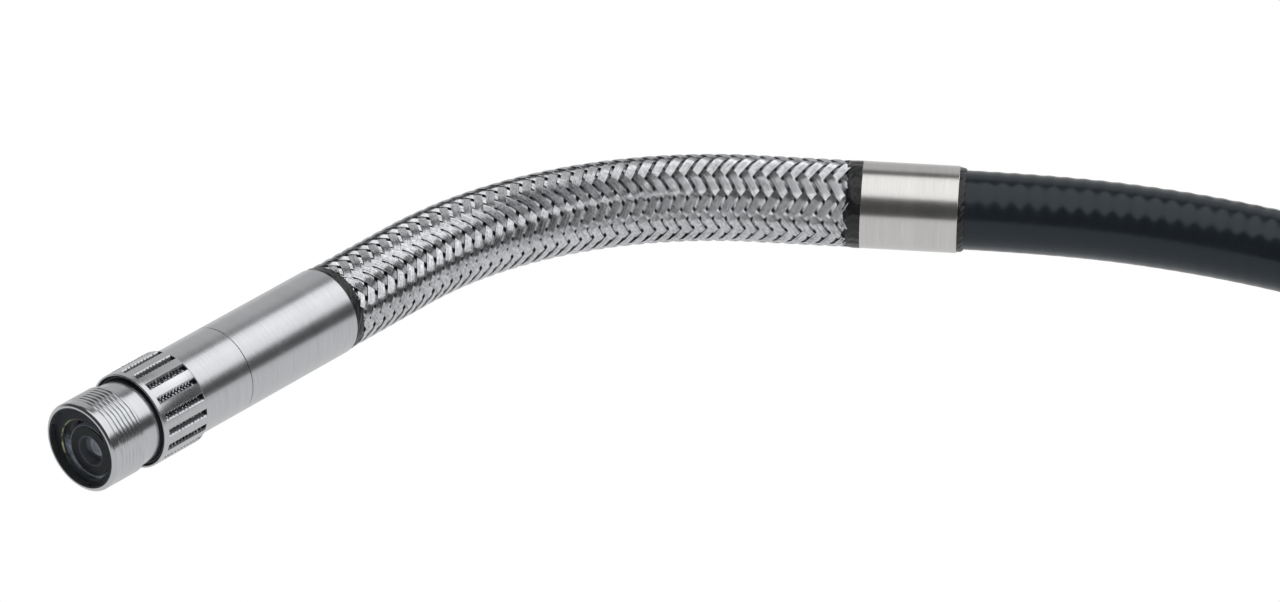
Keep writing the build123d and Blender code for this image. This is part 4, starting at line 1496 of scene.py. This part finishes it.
    def build(self) -> None:
        """Weave the braid stretch by stretch, with the rubber, the wires and the cable inside."""
        tree = self.braid_tree()
        steel = Finishes.get("braid_wire")
        every = []
        for name, first, last, before, after in self.stretches():
            braid = grow(f"braid_{name}", tree, crease=50.0, begin=first, finish=last,
                         points=ceil((last - first) / self.step) + 1, wires=self.wires,
                         ragged_front=0.35 if name == "00" else 0.0,
                         ragged_rear=0.45 if after == before and name != "00" else 0.0,
                         width=self.wire_width, height=self.wire_height, material=steel)
            made_here = [(braid, "braid_wire", "neck_braid")]
            for kind, slot, node, outer, inner, offset in self.inside:
                title = kind.format(name)
                mesh = self.pipe(title, first, last, outer, inner, offset)
                made_here.append((piece(title, mesh, Finishes.get(slot)), slot, node))
            for made, slot, node in made_here:
                self.carry(made, first, last, before, after)
                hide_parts(node)
            every.append(braid)
        report("neck", *every)


@dataclass
class Ferrule:
    """Steel ferrule between the neck and the insertion tube, with its bands of resin."""

    radius: float = 2.94
    bore: float = 2.72
    length: float = 6.53
    band: float = 0.95
    bead: float = 0.45
    resin_bore: float = 2.71

    def build(self, neck: BendingNeck) -> None:
        """Make the ferrule and its bands at the end of the neck.

        Args:
            neck: the neck that it ends.
        """
        point, turn = neck.place(neck.length)
        place = Matrix.Translation(point * MM) @ Matrix.Rotation(-turn, 4, "Z")
        length, bore = self.length, self.resin_bore
        outline = rounded([
            (0.0, self.bore, 0.0), (0.0, self.radius, 0.04), (length, self.radius, 0.04),
            (length, self.bore, 0.0)])
        mesh = turned("ferrule_dressed", outline, 256)
        ferrule = piece("ferrule_dressed", mesh, Finishes.get("ferrule_steel"), place)
        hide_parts("ferrule")

        def lumpy(x: np.ndarray, radius: np.ndarray, angle: np.ndarray) -> np.ndarray:
            """Give the set resin a lumpy skin."""
            wave = np.sin(angle * 7 + x * 6) * np.cos(angle * 13 - x * 8)
            wave += 0.7 * np.sin(angle * 29 + x * 11)
            return np.where(radius > bore + 0.02, radius + 0.02 * wave, radius)

        front = rounded([
            (-self.band, bore, 0.0), (-self.band, 2.88, 0.08), (-self.band * 0.6, 2.93, 0.1),
            (0.02, 2.94, 0.04), (0.02, bore, 0.0)])
        front_piece = piece("ferrule_band_dressed", turned("ferrule_band_dressed", front, 256, lumpy),
                            Finishes.get("epoxy_black"), place, crease=60.0)
        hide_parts("ferrule_band")
        rear = rounded([
            (length - 0.02, 2.70, 0.0), (length - 0.02, 2.86, 0.05),
            (length + self.bead * 0.6, 2.82, 0.1), (length + self.bead, 2.72, 0.03),
            (length + self.bead, 2.66, 0.0)])
        rear_piece = piece("glue_bead_dressed", turned("glue_bead_dressed", rear, 256, lumpy),
                           Finishes.get("epoxy_black"), place, crease=60.0)
        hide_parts("glue_bead")
        for part in (ferrule, front_piece, rear_piece):
            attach(part, "tube")
        report("ferrule", ferrule, front_piece, rear_piece)


def dress_frame() -> None:
    """Give every node of the frame that still shows the finish of its material slot."""
    for part in frame["record"]["subparts"]:
        node, slot = NODES.get(part["node"]), part.get("material_slot")
        if node is None or node.hide_render or slot is None:
            continue
        node.data.materials.clear()
        node.data.materials.append(Finishes.get(slot))
    LOG.info("frame: %d nodes dressed", sum(not node.hide_render for node in NODES.values()))


def main() -> None:
    """Build the probe: camera and cord first, then the head, the neck and the plug."""
    logging.basicConfig(level=logging.INFO, format="%(name)s %(message)s")
    Studio().build()
    neck = BendingNeck()
    Finishes.fill(-neck.bend)
    InsertionTube().build()
    CameraUnit().build()
    KnurledCollar().build()
    HeadSleeve().build()
    neck.build()
    Ferrule().build(neck)
    dress_frame()


if __name__ == "__main__":
    main()
